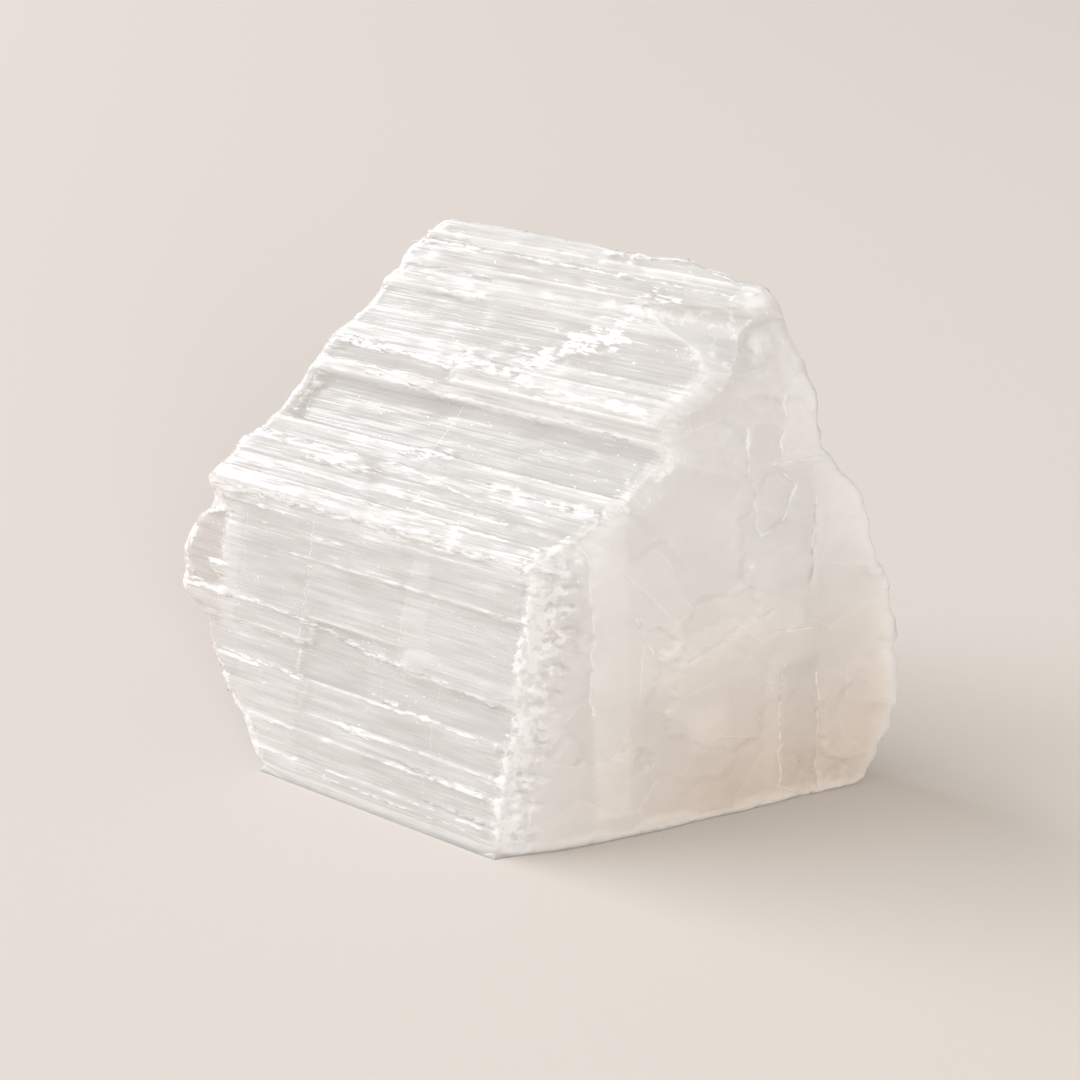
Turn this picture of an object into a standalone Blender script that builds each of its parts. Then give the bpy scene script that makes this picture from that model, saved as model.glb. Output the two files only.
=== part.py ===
"""Selenite crystal block: one broken piece of fibrous selenite (satin spar).

The fibres run along +X.  The piece is a prism along them whose section is built
from the base up: a steep front face, a slanted face up to the crest, and a steep
back face.  Cleavage has split the prism into long sheets of unlike depth, which
show as ledges, and into shorter lengths, which show as cross steps.  Both ends
are broken across the fibres.  Everything is one closed solid, in metres, +Z up,
with its origin under the middle of its base.
"""

import random
from bisect import bisect_right
from collections import namedtuple
from math import hypot

import bmesh
import bpy
from mathutils import Vector
from mathutils.geometry import delaunay_2d_cdt

NAME = "selenite_block"
SEED = 41

# The section across the fibres, as (y, z) corners, from the front toe round to the back toe.
FRONT_TOE = (0.0, 0.0)
FRONT_BELLY = (0.0020, 0.0115)
RIDGE = (0.0071, 0.0300)
SLANT_MIDDLE = (0.0150, 0.0393)
SLANT_BREAK = (0.0172, 0.0430)
CREST = (0.0264, 0.0552)
BACK_NECK = (0.0272, 0.0495)
BACK_SHOULDER = (0.0290, 0.0462)
BACK_WAIST = (0.0294, 0.0376)
BACK_LEDGE = (0.0318, 0.0336)
BACK_BULGE = (0.0340, 0.0215)
BACK_HEEL = (0.0335, 0.0080)
BACK_TOE = (0.0304, 0.0)

SECTION = (
    FRONT_TOE, FRONT_BELLY, RIDGE, SLANT_MIDDLE, SLANT_BREAK, CREST, BACK_NECK,
    BACK_SHOULDER, BACK_WAIST, BACK_LEDGE, BACK_BULGE, BACK_HEEL, BACK_TOE,
)

# The broken ends, as planes x = at + per_y * y + per_z * z.
Plane = namedtuple("Plane", "at per_y per_z")
NEAR_FACE = Plane(0.00194, 0.868, -0.186)
NEAR_STRIP = Plane(0.00086, 0.958, -0.186)
NEAR_CHAMFER = Plane(-0.00015, 1.35, -0.283)
FAR_FACE = Plane(-0.0490, 0.62, 0.180)
FAR_WALL = Plane(-0.0442, 0.42, 0.0)
FAR_UNDERCUT = Plane(-0.0296, 0.75, -0.80)

# Ledges: a sheet covers arcs low to high up the front (measured along the section
# from the front toe) and x from far to near.  It lies that depth under the section,
# and fine ledges as deep as its relief run along it; a glassy flat has next to none.
Sheet = namedtuple("Sheet", "low high far near depth relief")
ALL = 1.0
SHEETS = (
    Sheet(0.0000, 0.0012, -ALL, ALL, 0.00030, 0.00005),        # worn foot of the front
    Sheet(0.0030, 0.0043, -ALL, ALL, 0.00020, 0.00020),
    Sheet(0.0064, 0.0086, -ALL, ALL, 0.00035, 0.00025),
    Sheet(0.0086, 0.0122, -0.0250, ALL, 0.00055, 0.00012),
    Sheet(0.0086, 0.0122, -ALL, -0.0250, 0.00020, 0.00025),
    Sheet(0.0122, 0.0163, -0.0250, ALL, 0.00085, 0.00008),
    Sheet(0.0122, 0.0163, -ALL, -0.0250, 0.00045, 0.00015),
    Sheet(0.0163, 0.0188, -0.0250, -0.0134, 0.00075, 0.00020),
    Sheet(0.0163, 0.0188, -ALL, -0.0250, 0.00010, 0.00010),
    Sheet(0.0163, 0.0250, -0.0134, ALL, 0.00040, 0.00005),     # flat below the ridge
    Sheet(0.0188, 0.0250, -0.0250, -0.0134, 0.00028, 0.00010),
    Sheet(0.0188, 0.0292, -ALL, -0.0363, 0.00070, 0.00008),    # clear block at the far end
    Sheet(0.0188, 0.0250, -0.0363, -0.0250, 0.00015, 0.00006),
    Sheet(0.0250, 0.0292, -0.0363, ALL, 0.00005, 0.00010),
    Sheet(0.0292, 0.0326, -ALL, ALL, 0.00000, 0.00018),        # bright main ridge
    Sheet(0.0326, 0.0345, -ALL, ALL, 0.00030, 0.00025),
    Sheet(0.0345, 0.0370, -0.0200, ALL, 0.00055, 0.00025),
    Sheet(0.0345, 0.0370, -ALL, -0.0200, 0.00015, 0.00020),
    Sheet(0.0370, 0.0390, -ALL, ALL, 0.00085, 0.00020),
    Sheet(0.0390, 0.0444, -0.0305, ALL, 0.00130, 0.00006),     # glassy flat half way up
    Sheet(0.0390, 0.0444, -ALL, -0.0305, 0.00060, 0.00004),    # round-ended sheet beside it
    Sheet(0.0444, 0.0458, -0.0165, ALL, 0.00070, 0.00020),
    Sheet(0.0444, 0.0458, -ALL, -0.0165, 0.00020, 0.00015),
    Sheet(0.0458, 0.0486, -0.0134, ALL, -0.00045, 0.00010),    # silky roll above the flat
    Sheet(0.0458, 0.0486, -ALL, -0.0134, 0.00040, 0.00020),
    Sheet(0.0486, 0.0500, -ALL, ALL, 0.00040, 0.00020),
    Sheet(0.0500, 0.0546, -ALL, ALL, 0.00085, 0.00008),        # broad striped flat
    Sheet(0.0546, 0.0572, -ALL, ALL, 0.00050, 0.00022),
    Sheet(0.0572, 0.0595, -ALL, ALL, 0.00015, 0.00010),
    Sheet(0.0595, 0.0602, -ALL, ALL, 0.00040, 0.00010),
    Sheet(0.0602, 0.0640, -ALL, ALL, 0.00000, 0.00010),        # crest sheet
)

# The gouge under the crest sheet: a flat that cuts from the slanted face into the near end.
GOUGE_FLOOR = Plane(0.1656, 2.97, -4.62)
GOUGE_TOP = 0.0572
GOUGE_DEPTH = 0.0030

# How far the crest has broken down, from each x towards the near end, and how wide
# the sheets are on either side of it that give way.
CREST_DROPS = ((-ALL, 0.0), (-0.0150, 0.0002), (-0.0060, 0.0003), (-0.0030, 0.0011),
               (0.0010, 0.0006), (0.0060, 0.0009), (0.0090, 0.0013), (0.0118, 0.0020))
CREST_SHEET = 0.0025
CREST_BACK = 0.0045

# Cross cracks, by x, and how far each may stray from one ledge to the next.
CRACKS = (-0.0363, -0.0305, -0.0250, -0.0200, -0.0165, -0.0134, -0.0090, -0.0045, 0.0010, 0.0060)
CRACK_STRAY = 0.0011
CRACK_SPACING = 0.0007

# Fine ledges between the named ones.
LEDGE_HEIGHT = (0.0011, 0.0019)
LEDGE_RELIEF = 0.00020
LEDGE_LEAN = 0.45
BREAK_CHANCE = 0.28
BACK_LEDGE_HEIGHT = (0.0016, 0.0034)
BACK_RELIEF = 0.00070
BACK_FADE = 0.0060
RISER = 0.00010
EDGE_STRAY = 0.00006
RIM_STRAY = 0.00022
BACK_RIM_STRAY = 0.00020
BASE_ROWS = 8
BASE_INSET = 0.00030
EDGE_WANDER = 0.22

# The far end steps from one group of ledges to the next, parted at these arcs.
FAR_STEPS = (0.0, 0.0030, 0.0070, 0.0105, 0.0145, 0.0163, 0.0250, 0.0292, 0.0308, 0.0365, 0.0385,
             0.0444, 0.0498, 0.0515, 0.0560, 0.0595, 0.0640, 0.0720, 0.0790, 0.0850, 0.0920,
             0.1010, 0.1100, 0.1250)
FAR_STEP_SHARE = 0.65
FAR_RIM_STRAY = 0.00022

# The broken ends: flat panels between cleavage lines, and the rough chamfer.  On the near
# end u runs back from the foot of the chamfer and v runs up, and a panel rises by rise0
# along its side at u0 and by rise1 along its side at u1.
Panel = namedtuple("Panel", "u0 u1 v0 v1 rise0 rise1")
NEAR_PANELS = (
    Panel(0.0085, 0.0150, 0.0010, 0.0125, -0.00030, 0.00000),
    Panel(0.0215, 0.0270, 0.0285, 0.0366, 0.00000, -0.00045),   # between the two cracks
    Panel(0.0245, 0.0400, 0.0372, 0.0480, 0.00045, 0.00070),    # proud block at the top
    Panel(0.0285, 0.0400, 0.0130, 0.0368, -0.00040, -0.00110),  # outer strip, set back
    Panel(0.0245, 0.0292, 0.0012, 0.0155, 0.00000, -0.00050),
    Panel(0.0297, 0.0400, 0.0000, 0.0125, -0.00020, -0.00090),
)
PANEL_ALONG_Y = 0.755
PANEL_LIFT_Y = 0.092
PANEL_FOOT_Y = 0.0031
FAR_PANEL_SIZE = (0.0068, 0.0136)
FAR_PANEL_CUT = (0.35, 0.65)
FAR_PANEL_RISE = 0.00055
PANEL_BEVEL = 0.00010
FACE_SPACING = 0.0028
FACE_ROUGHNESS = 0.00010
CHAMFER_SPACING = 0.0015
CHAMFER_ROUGHNESS = 0.00045
POINT_JITTER = 0.4
RIM_MARGIN = 0.0006
LINE_MARGIN = 0.00025
SAME_POINT = 1e-7


def arc_lengths(corners):
    """Arc length at each corner of an open outline."""
    lengths = [0.0]
    for (y0, z0), (y1, z1) in zip(corners, corners[1:]):
        lengths.append(lengths[-1] + hypot(y1 - y0, z1 - z0))
    return lengths


ARCS = arc_lengths(SECTION)
CREST_ARC = ARCS[SECTION.index(CREST)]
RIDGE_ARC = ARCS[SECTION.index(RIDGE)]
END_ARC = ARCS[-1]
NORMAL_REACH = 0.0006


def section_point(arc):
    """The (y, z) of the section at an arc length."""
    arc = min(max(arc, 0.0), END_ARC)
    index = min(bisect_right(ARCS, arc), len(ARCS) - 1)
    share = (arc - ARCS[index - 1]) / (ARCS[index] - ARCS[index - 1])
    (y0, z0), (y1, z1) = SECTION[index - 1], SECTION[index]
    return Vector((y0 + (y1 - y0) * share, z0 + (z1 - z0) * share))


def section_inward(arc):
    """Unit (y, z) pointing into the solid, blended over the section's corners."""
    run = section_point(arc + NORMAL_REACH) - section_point(arc - NORMAL_REACH)
    return Vector((run.y, -run.x)).normalized()


def plane_x(plane, y, z):
    """x of an end plane over (y, z)."""
    return plane.at + plane.per_y * y + plane.per_z * z


def up_slant(y, z):
    """Arc length at which (y, z) stands over the slanted face."""
    rise = Vector(CREST) - Vector(RIDGE)
    return RIDGE_ARC + (Vector((y, z)) - Vector(RIDGE)).dot(rise.normalized())


def near_x(y, z):
    """x of the near end, before its panels."""
    planes = [NEAR_FACE, NEAR_STRIP, NEAR_CHAMFER]
    if up_slant(y, z) < GOUGE_TOP:
        planes.append(GOUGE_FLOOR)
    return min(plane_x(plane, y, z) for plane in planes)


def far_x(y, z):
    """x of the far end, before its panels."""
    return max(plane_x(plane, y, z) for plane in (FAR_FACE, FAR_WALL, FAR_UNDERCUT))


def far_rim_x(arc):
    """x at which a ledge ends at the far end: in steps, one for each group of ledges."""
    index = min(bisect_right(FAR_STEPS, arc), len(FAR_STEPS) - 1)
    group = section_point((FAR_STEPS[index - 1] + FAR_STEPS[index]) / 2)
    return FAR_STEP_SHARE * far_x(*group) + (1 - FAR_STEP_SHARE) * far_x(*section_point(arc))


def broken_crest(arc, x):
    """Where a place near the crest lies once the crest has broken down there."""
    drop = [amount for start, amount in CREST_DROPS if x >= start][-1]
    if CREST_ARC - CREST_SHEET < arc <= CREST_ARC:
        return arc - drop * (arc - CREST_ARC + CREST_SHEET) / CREST_SHEET
    if CREST_ARC < arc < CREST_ARC + CREST_BACK:
        return arc + drop * (CREST_ARC + CREST_BACK - arc) / CREST_BACK
    return arc


def sheet_at(arc, x):
    """The depth and fine relief of the cleavage sheet that covers a place."""
    if arc > CREST_ARC:
        return 0.0, BACK_RELIEF * min(1.0, (arc - CREST_ARC) / BACK_FADE)
    depth, relief = 0.0, LEDGE_RELIEF
    for sheet in SHEETS:
        if sheet.low <= arc <= sheet.high and sheet.far <= x <= sheet.near:
            depth, relief = sheet.depth, sheet.relief
    return depth, relief


def ledge_edges(rng):
    """Arc lengths of every ledge's edge, from the front toe to the back toe."""
    named = {0.0, RIDGE_ARC, CREST_ARC, CREST_ARC + CREST_BACK, END_ARC, GOUGE_TOP}
    for sheet in SHEETS:
        named.update((sheet.low, min(sheet.high, CREST_ARC)))
    named.update(ARCS[SECTION.index(BACK_NECK):])
    named = sorted(named)
    edges = [named[0]]
    for low, high in zip(named, named[1:]):
        if high - low < 2 * RISER:
            continue
        smallest, largest = LEDGE_HEIGHT if high <= CREST_ARC else BACK_LEDGE_HEIGHT
        count = max(1, round((high - low) / rng.uniform(smallest, largest)))
        for number in range(1, count):
            wander = rng.uniform(-EDGE_WANDER, EDGE_WANDER)
            edges.append(low + (high - low) * (number + wander) / count)
        edges.append(high)
    return edges


def crack_columns(rng, far, near):
    """x of both lips of every cross crack on one ledge, between its two ends."""
    places = [crack + rng.uniform(-CRACK_STRAY, CRACK_STRAY) for crack in CRACKS]
    low = far
    for index, place in enumerate(places):
        low = max(place, low + CRACK_SPACING)
        places[index] = low
    high = near
    for index in reversed(range(len(places))):
        high = min(places[index], high - CRACK_SPACING)
        places[index] = high
    columns = [far]
    for place in places:
        columns.extend((place - RISER, place + RISER))
    return columns + [near]


def ledge_rows(rng, low, high):
    """The two rows of points, low and high edge, of one ledge."""
    middle = (low + high) / 2
    front = middle < CREST_ARC
    y, z = section_point(middle)
    rim = RIM_STRAY if front else BACK_RIM_STRAY
    near_shift = rng.uniform(-rim, rim)
    far_shift = far_rim_x(middle) - far_x(y, z) + rng.uniform(-FAR_RIM_STRAY, FAR_RIM_STRAY)
    columns = crack_columns(rng, far_x(y, z) + far_shift, near_x(y, z) + near_shift)
    share = rng.random()
    insets = []
    for first, second in zip(columns[::2], columns[1::2]):
        depth, relief = sheet_at(middle, (first + second) / 2)
        if rng.random() < BREAK_CHANCE:
            share = rng.random()
        insets.extend(((depth + relief * share, relief), (depth + relief * share, relief)))
    lean = rng.uniform(-LEDGE_LEAN, LEDGE_LEAN)
    rows = []
    for arc, side in ((low + RISER, lean), (high - RISER, -lean)):
        row = []
        for column, (x, (depth, relief)) in enumerate(zip(columns, insets)):
            place = broken_crest(arc, x)
            inset = depth + side * relief + rng.uniform(-EDGE_STRAY, EDGE_STRAY)
            point = section_point(place) + section_inward(place) * inset
            point.y = max(point.y, RISER)
            if column == 0:
                x = far_x(*point) + far_shift
            elif column == len(columns) - 1:
                x = near_x(*point) + near_shift
            row.append((x, point.x, point.y))
        rows.append(row)
    return rows


def base_rows():
    """Rows of the flat base, from the back toe to the front toe."""
    back = BACK_TOE[0] - BASE_INSET
    front = FRONT_TOE[0] + BASE_INSET
    last_column = 2 * len(CRACKS) + 1
    rows = []
    for number in range(BASE_ROWS):
        y = back + (front - back) * number / (BASE_ROWS - 1)
        near, far = near_x(y, 0.0), far_x(y, 0.0)
        step = (near - far) / last_column
        rows.append([(far + step * column, y, 0.0) for column in range(last_column + 1)])
    return rows


def inside(outline, y, z):
    """Whether (y, z) lies in a closed outline."""
    found = False
    for (y0, z0), (y1, z1) in zip(outline, outline[1:] + outline[:1]):
        if (z0 > z) != (z1 > z) and y < (y1 - y0) * (z - z0) / (z1 - z0) + y0:
            found = not found
    return found


def clear_of(outline, y, z, margin):
    """Whether (y, z) and its surroundings lie inside the outline."""
    corners = ((y - margin, z), (y + margin, z), (y, z - margin), (y, z + margin), (y, z))
    return all(inside(outline, *corner) for corner in corners)


def panel_box(panel):
    """(y, z) corners of a near-end panel."""
    corners = []
    for u, v in ((panel.u0, panel.v0), (panel.u1, panel.v0), (panel.u1, panel.v1),
                 (panel.u0, panel.v1)):
        corners.append((PANEL_FOOT_Y + PANEL_ALONG_Y * u + PANEL_LIFT_Y * v, v))
    return corners


def split_panels(rng, y0, y1, z0, z1):
    """Far-end panels: the end is split again and again at uneven places."""
    if max(y1 - y0, z1 - z0) < rng.uniform(*FAR_PANEL_SIZE):
        rises = [rng.uniform(-FAR_PANEL_RISE, FAR_PANEL_RISE) for _side in range(2)]
        return [([(y0, z0), (y1, z0), (y1, z1), (y0, z1)], rises)]
    share = rng.uniform(*FAR_PANEL_CUT)
    if y1 - y0 > z1 - z0:
        cut = y0 + (y1 - y0) * share
        return split_panels(rng, y0, cut, z0, z1) + split_panels(rng, cut, y1, z0, z1)
    cut = z0 + (z1 - z0) * share
    return split_panels(rng, y0, y1, z0, cut) + split_panels(rng, y0, y1, cut, z1)


def panel_lines(corners):
    """Both lips of the step round a panel, as closed outlines."""
    centre = Vector((sum(c[0] for c in corners), sum(c[1] for c in corners))) / len(corners)
    for sign in (-1, 1):
        lip = []
        for corner in corners:
            away = Vector(corner) - centre
            lip.append(Vector(corner) + away * (sign * PANEL_BEVEL / away.length))
        yield lip


def crease(plane, other, low, high):
    """The line, over (y, z), where two end planes meet between two heights."""
    line = []
    for z in (low, high):
        y = (other.at - plane.at + (other.per_z - plane.per_z) * z) / (plane.per_y - other.per_y)
        line.append(Vector((y, z)))
    return line


def near_creases():
    """Lines that the near end's mesh follows: its creases and both lips of the gouge's side."""
    lines = [crease(NEAR_CHAMFER, NEAR_STRIP, 0.0, RIDGE[1])]
    lines.append(crease(NEAR_STRIP, NEAR_FACE, 0.0, RIDGE[1]))
    for lip in (-PANEL_BEVEL, PANEL_BEVEL):
        edge = section_point(GOUGE_TOP + lip)
        lines.append([edge, edge + section_inward(GOUGE_TOP) * GOUGE_DEPTH])
    return lines


def cap_points(rng, outline, panels, creases, roughness):
    """Points and edges that fill one end: its lines, and jittered points between them."""
    points = []
    edges = []
    lines = list(creases)
    for corners, _rises in panels:
        for lip in panel_lines(corners):
            lines.extend(zip(lip, lip[1:] + lip[:1]))
    for start, end in lines:
        count = max(1, round((end - start).length / FACE_SPACING))
        previous = None
        for number in range(count + 1):
            place = start.lerp(end, number / count)
            if not clear_of(outline, place.x, place.y, LINE_MARGIN):
                previous = None
                continue
            points.append(place)
            if previous is not None:
                edges.append((previous, len(points) - 1))
            previous = len(points) - 1
    lowest = [min(corner[axis] for corner in outline) for axis in (0, 1)]
    highest = [max(corner[axis] for corner in outline) for axis in (0, 1)]
    step = CHAMFER_SPACING
    jitter = step * POINT_JITTER
    z = lowest[1]
    while z < highest[1]:
        y = lowest[0]
        while y < highest[0]:
            place = Vector((y + rng.uniform(-jitter, jitter), z + rng.uniform(-jitter, jitter)))
            fine = roughness(place.x, place.y) > FACE_ROUGHNESS
            keep = fine or rng.random() < (step / FACE_SPACING) ** 2
            if keep and clear_of(outline, place.x, place.y, RIM_MARGIN):
                points.append(place)
            y += step
        z += step
    return points, edges


def cap(bm, rng, rim, surface, panels, creases, roughness):
    """Close one end: a height field over (y, z) between the rim's points."""
    outline = [(vertex.co.y, vertex.co.z) for vertex in rim]
    extra, extra_edges = cap_points(rng, outline, panels, creases, roughness)
    coordinates = [Vector(corner) for corner in outline] + extra
    count = len(outline)
    edges = [(index, (index + 1) % count) for index in range(count)]
    edges += [(a + count, b + count) for a, b in extra_edges]
    filled = delaunay_2d_cdt(coordinates, edges, [], 0, SAME_POINT)
    flat, faces, origins = filled[0], filled[2], filled[3]
    vertices = []
    for place, origin in zip(flat, origins):
        rims = [index for index in origin if index < count]
        if rims:
            vertices.append(rim[rims[0]])
            continue
        y, z = place
        rise = 0.0
        for corners, (rise0, rise1) in panels:
            if inside(corners, y, z):
                share = (y - corners[0][0]) / (corners[1][0] - corners[0][0])
                rise = rise0 + (rise1 - rise0) * share
        rough = roughness(y, z)
        vertices.append(bm.verts.new((surface(y, z) + rise + rng.uniform(-rough, rough), y, z)))
    for face in faces:
        middle = sum((flat[index] for index in face), Vector((0.0, 0.0))) / len(face)
        if inside(outline, *middle):
            bm.faces.new([vertices[index] for index in face])


def near_roughness(y, z):
    """The chamfer is rough and crystalline, the rest of the near end smooth."""
    on_chamfer = plane_x(NEAR_CHAMFER, y, z) < plane_x(NEAR_STRIP, y, z)
    return CHAMFER_ROUGHNESS if on_chamfer else FACE_ROUGHNESS


def far_roughness(_y, _z):
    """The far end is smooth between its steps."""
    return FACE_ROUGHNESS


def block_mesh():
    """The whole solid, in the frame of its section."""
    rng = random.Random(SEED)
    bm = bmesh.new()
    edges = ledge_edges(rng)
    rows = []
    for low, high in zip(edges, edges[1:]):
        rows.extend(ledge_rows(rng, low, high))
    rows.extend(base_rows())
    grid = [[bm.verts.new(point) for point in row] for row in rows]
    for row, above in zip(grid, grid[1:] + grid[:1]):
        for index in range(len(row) - 1):
            bm.faces.new((row[index], row[index + 1], above[index + 1], above[index]))
    near_rim = [row[-1] for row in grid]
    far_rim = [row[0] for row in grid]
    near_panels = [(panel_box(panel), (panel.rise0, panel.rise1)) for panel in NEAR_PANELS]
    far_panels = split_panels(rng, 0.0, BACK_BULGE[0], 0.0, CREST[1])
    cap(bm, rng, near_rim, near_x, near_panels, near_creases(), near_roughness)
    cap(bm, rng, far_rim, far_x, far_panels, [], far_roughness)
    bmesh.ops.recalc_face_normals(bm, faces=bm.faces)
    return bm


def centre_on_base(bm):
    """Put the origin under the middle of the bounding box, at the base."""
    lows = [min(vertex.co[axis] for vertex in bm.verts) for axis in range(3)]
    highs = [max(vertex.co[axis] for vertex in bm.verts) for axis in range(3)]
    shift = Vector((-(lows[0] + highs[0]) / 2, -(lows[1] + highs[1]) / 2, -lows[2]))
    bmesh.ops.translate(bm, verts=bm.verts, vec=shift)


def selenite_material():
    """Milky, silky selenite."""
    material = bpy.data.materials.new("selenite")
    material.use_nodes = True
    shader = material.node_tree.nodes["Principled BSDF"]
    shader.inputs["Base Color"].default_value = (0.82, 0.80, 0.77, 1.0)
    shader.inputs["Roughness"].default_value = 0.32
    shader.inputs["Metallic"].default_value = 0.0
    shader.inputs["IOR"].default_value = 1.52
    shader.inputs["Transmission Weight"].default_value = 0.35
    return material


def main():
    """Build the block in a collection of its own."""
    for item in list(bpy.data.objects):
        bpy.data.objects.remove(item, do_unlink=True)
    collection = bpy.data.collections.new("selenite_crystal_block")
    bpy.context.scene.collection.children.link(collection)
    bm = block_mesh()
    centre_on_base(bm)
    mesh = bpy.data.meshes.new(NAME)
    bm.to_mesh(mesh)
    bm.free()
    block = bpy.data.objects.new(NAME, mesh)
    collection.objects.link(block)
    mesh.materials.append(selenite_material())


main()
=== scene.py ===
"""Selenite crystal block: the finish of a broken piece of fibrous selenite (satin spar).

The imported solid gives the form.  A fine closed mesh is drawn over it: rows that run
along the fibres on the sides, and a close net of triangles on the two broken ends.
Geometry Nodes split its sides into fine strips, roughen its edges and facet its
broken ends, and scatter small splinters along its ledges.  Units are metres, +Z up,
and the fibres run along +X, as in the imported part.
"""

from bisect import bisect_right
from collections import namedtuple
from math import hypot, pi, radians

import bpy
import numpy as np
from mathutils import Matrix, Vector
from mathutils.bvhtree import BVHTree
from mathutils.geometry import delaunay_2d_cdt
from mathutils.kdtree import KDTree


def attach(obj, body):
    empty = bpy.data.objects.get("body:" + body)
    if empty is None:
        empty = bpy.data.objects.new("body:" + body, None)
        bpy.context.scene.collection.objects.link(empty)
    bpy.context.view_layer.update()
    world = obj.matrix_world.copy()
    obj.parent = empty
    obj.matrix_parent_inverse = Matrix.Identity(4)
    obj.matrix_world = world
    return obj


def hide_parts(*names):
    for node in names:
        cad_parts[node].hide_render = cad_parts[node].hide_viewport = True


bl_info = {
    "name": "Selenite Crystal Block",
    "version": (1, 0, 0),
    "blender": (4, 5, 0),
    "location": "View3D > Sidebar > Selenite",
    "description": "Finishes a block of fibrous selenite round its packed solid",
    "category": "Object",
}

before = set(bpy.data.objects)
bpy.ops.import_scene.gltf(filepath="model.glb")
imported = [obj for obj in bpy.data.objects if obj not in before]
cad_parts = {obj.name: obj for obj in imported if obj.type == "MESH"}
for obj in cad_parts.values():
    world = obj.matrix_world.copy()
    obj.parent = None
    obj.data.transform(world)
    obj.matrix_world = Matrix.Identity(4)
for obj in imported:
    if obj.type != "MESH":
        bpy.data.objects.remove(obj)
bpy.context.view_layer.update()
NODE = "selenite_block"
BODY = "root"
MM = 0.001
ALL = 200.0     # farther than anything in the block, in mm

# ---------------------------------------------------------------- the solid's own section

# The section across the fibres, as (y, z) corners in mm, and where its frame's origin lies.
FRAME_SHIFT = Vector((6.449, -17.176, 0.0)) * MM
SECTION = (
    (0.0, 0.0), (2.0, 11.5), (7.1, 30.0), (15.0, 39.3), (17.2, 43.0), (26.4, 55.2), (27.2, 49.5),
    (29.0, 46.2), (29.4, 37.6), (31.8, 33.6), (34.0, 21.5), (33.5, 8.0), (30.4, 0.0),
)
RIDGE = 2
CREST = 5

# The broken ends in mm, as planes x = at + per_y * y + per_z * z.
Plane = namedtuple("Plane", "at per_y per_z")
NEAR_FACE = Plane(1.94, 0.868, -0.186)
NEAR_STRIP = Plane(0.86, 0.958, -0.186)
NEAR_CHAMFER = Plane(-0.15, 1.35, -0.283)
GOUGE_FLOOR = Plane(165.6, 2.97, -4.62)
GOUGE_TOP = 57.2
FAR_FACE = Plane(-49.0, 0.62, 0.180)
FAR_WALL = Plane(-44.2, 0.42, 0.0)
FAR_UNDERCUT = Plane(-29.6, 0.75, -0.80)

# ---------------------------------------------------------------- the fine mesh, in mm

# Rows along the fibres, up the front, down the back and over the base.
FRONT_ROW = 0.15
BACK_ROW = 0.40
BASE_ROWS = 24
BASE_INSET = 0.03
FOOT_LIFT = 0.04

# Columns across them, closer near both ends.
NEAR_COLUMNS = 13
NEAR_COLUMN = 0.17
FAR_COLUMNS = 6
FAR_COLUMN = 0.30
MIDDLE_COLUMNS = 84
SQUEEZED_COLUMN = 0.03

# Rays that feel for the solid's sides and ends.
RAY_START = 1.5
RAY_REACH = 9.0
RAY_BLEND = 5.0
RAY_SLACK = 1e-5
RIM_REACH = 36.0
RIM_INSET = 0.30
NEAR_PROBE = 0.8
FAR_PROBE = 4.5
FACE_BLUR = 0.9
FACE_SPREAD = 1.6
FACE_PROBES = ((0, 0), (1, 0), (-1, 0), (0, 1), (0, -1), (0.7, 0.7), (0.7, -0.7), (-0.7, 0.7), (-0.7, -0.7))

# Nets of triangles over the ends.
NEAR_NET = 0.43
FAR_NET = 0.58
NET_ROW = 0.866
NET_JITTER = 0.28
NET_MARGIN = 0.8
SAME_POINT = 1e-6

# Where the rows end: drawn in beside short rows, then evened, most at the back of the far end.
END_DRAW = 0.50
END_EVEN = 0.45
FAR_EVEN = 1.5
END_TURN = 3.0
CORNER_INSET = 1.8
CORNER_REACH = 4.5

# Smoothing of the side, and the roll over the chipped crest.
SOFT_BACK = 1.1
SOFT_RIM = 0.80
SOFT_COLUMNS = 10
COLUMN_TURNS = 2
CREST_EASE = 2.4
EASE_COLUMNS = 14

# Worn rims: least and greatest radius at the near and the far end, and how the end faces meet them.
RIM_ROUNDS = ((0.55, 1.40), (0.60, 1.50))
RIM_WEAR = 2.3
ROUND_START = 1.0 - 0.5**0.5
RIM_FOLLOW = 1.6
RIM_SLIP = 0.03
SLIP_BLUR = 0.8
SLIP_MOST = 0.7
FACE_AWAY = (0.15, 1.5)

# The gouge at the near end: arcs low and high, how far it reaches under the slanted face, how
# steeply its floor may fall, and how often that floor is evened.
GOUGE_ARCS = (46.0, 58.6)
GOUGE_UNDER = 7.0
GOUGE_AWAY = 6.0
GOUGE_TURNS = 16

# Relief: strips as (input, width, length, seed), facets and hackles as (step, tilt), the share
# of the hackles that white places get, and the heights over which the foot stays flat.
STRIPS = (("Strip Depth", 1.05, 13.0, 3.0), ("Fine Strip Depth", 0.46, 5.0, 8.0))
STRIP_SWAY = (0.11, 0.45)
STRIP_SHIFT = 31.7
FACET_LOOK = (0.0, 1.0)
HACKLE_LOOK = (0.5, 1.2)
HACKLE_BEND = 0.8
WHITE_HACKLES = 0.35
SEED_STEP = 13.0
FOOT_FADE = (0.10, 0.8)
RIM_ROUGH = 0.10
FAR_ROUGH = 0.35
CHAMFER_FADE = 0.5
WIDE_MARK = 1.0
WIDE_LUMPS = 0.45

# A crumbled mark: over what lengths its line sways, its edge frays and its width swells, with the
# least share and what the noise adds, how blunt its ends are and how soon it is fully white.
MARK_SWAY = 1.3
MARK_FRAY = (0.9, 0.35)
MARK_FRAYED = (0.25, 1.1)
MARK_SWELL = 3.1
MARK_SWOLLEN = (0.55, 0.9)
MARK_BLUNT = 0.45
MARK_FULL = 1.9

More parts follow.
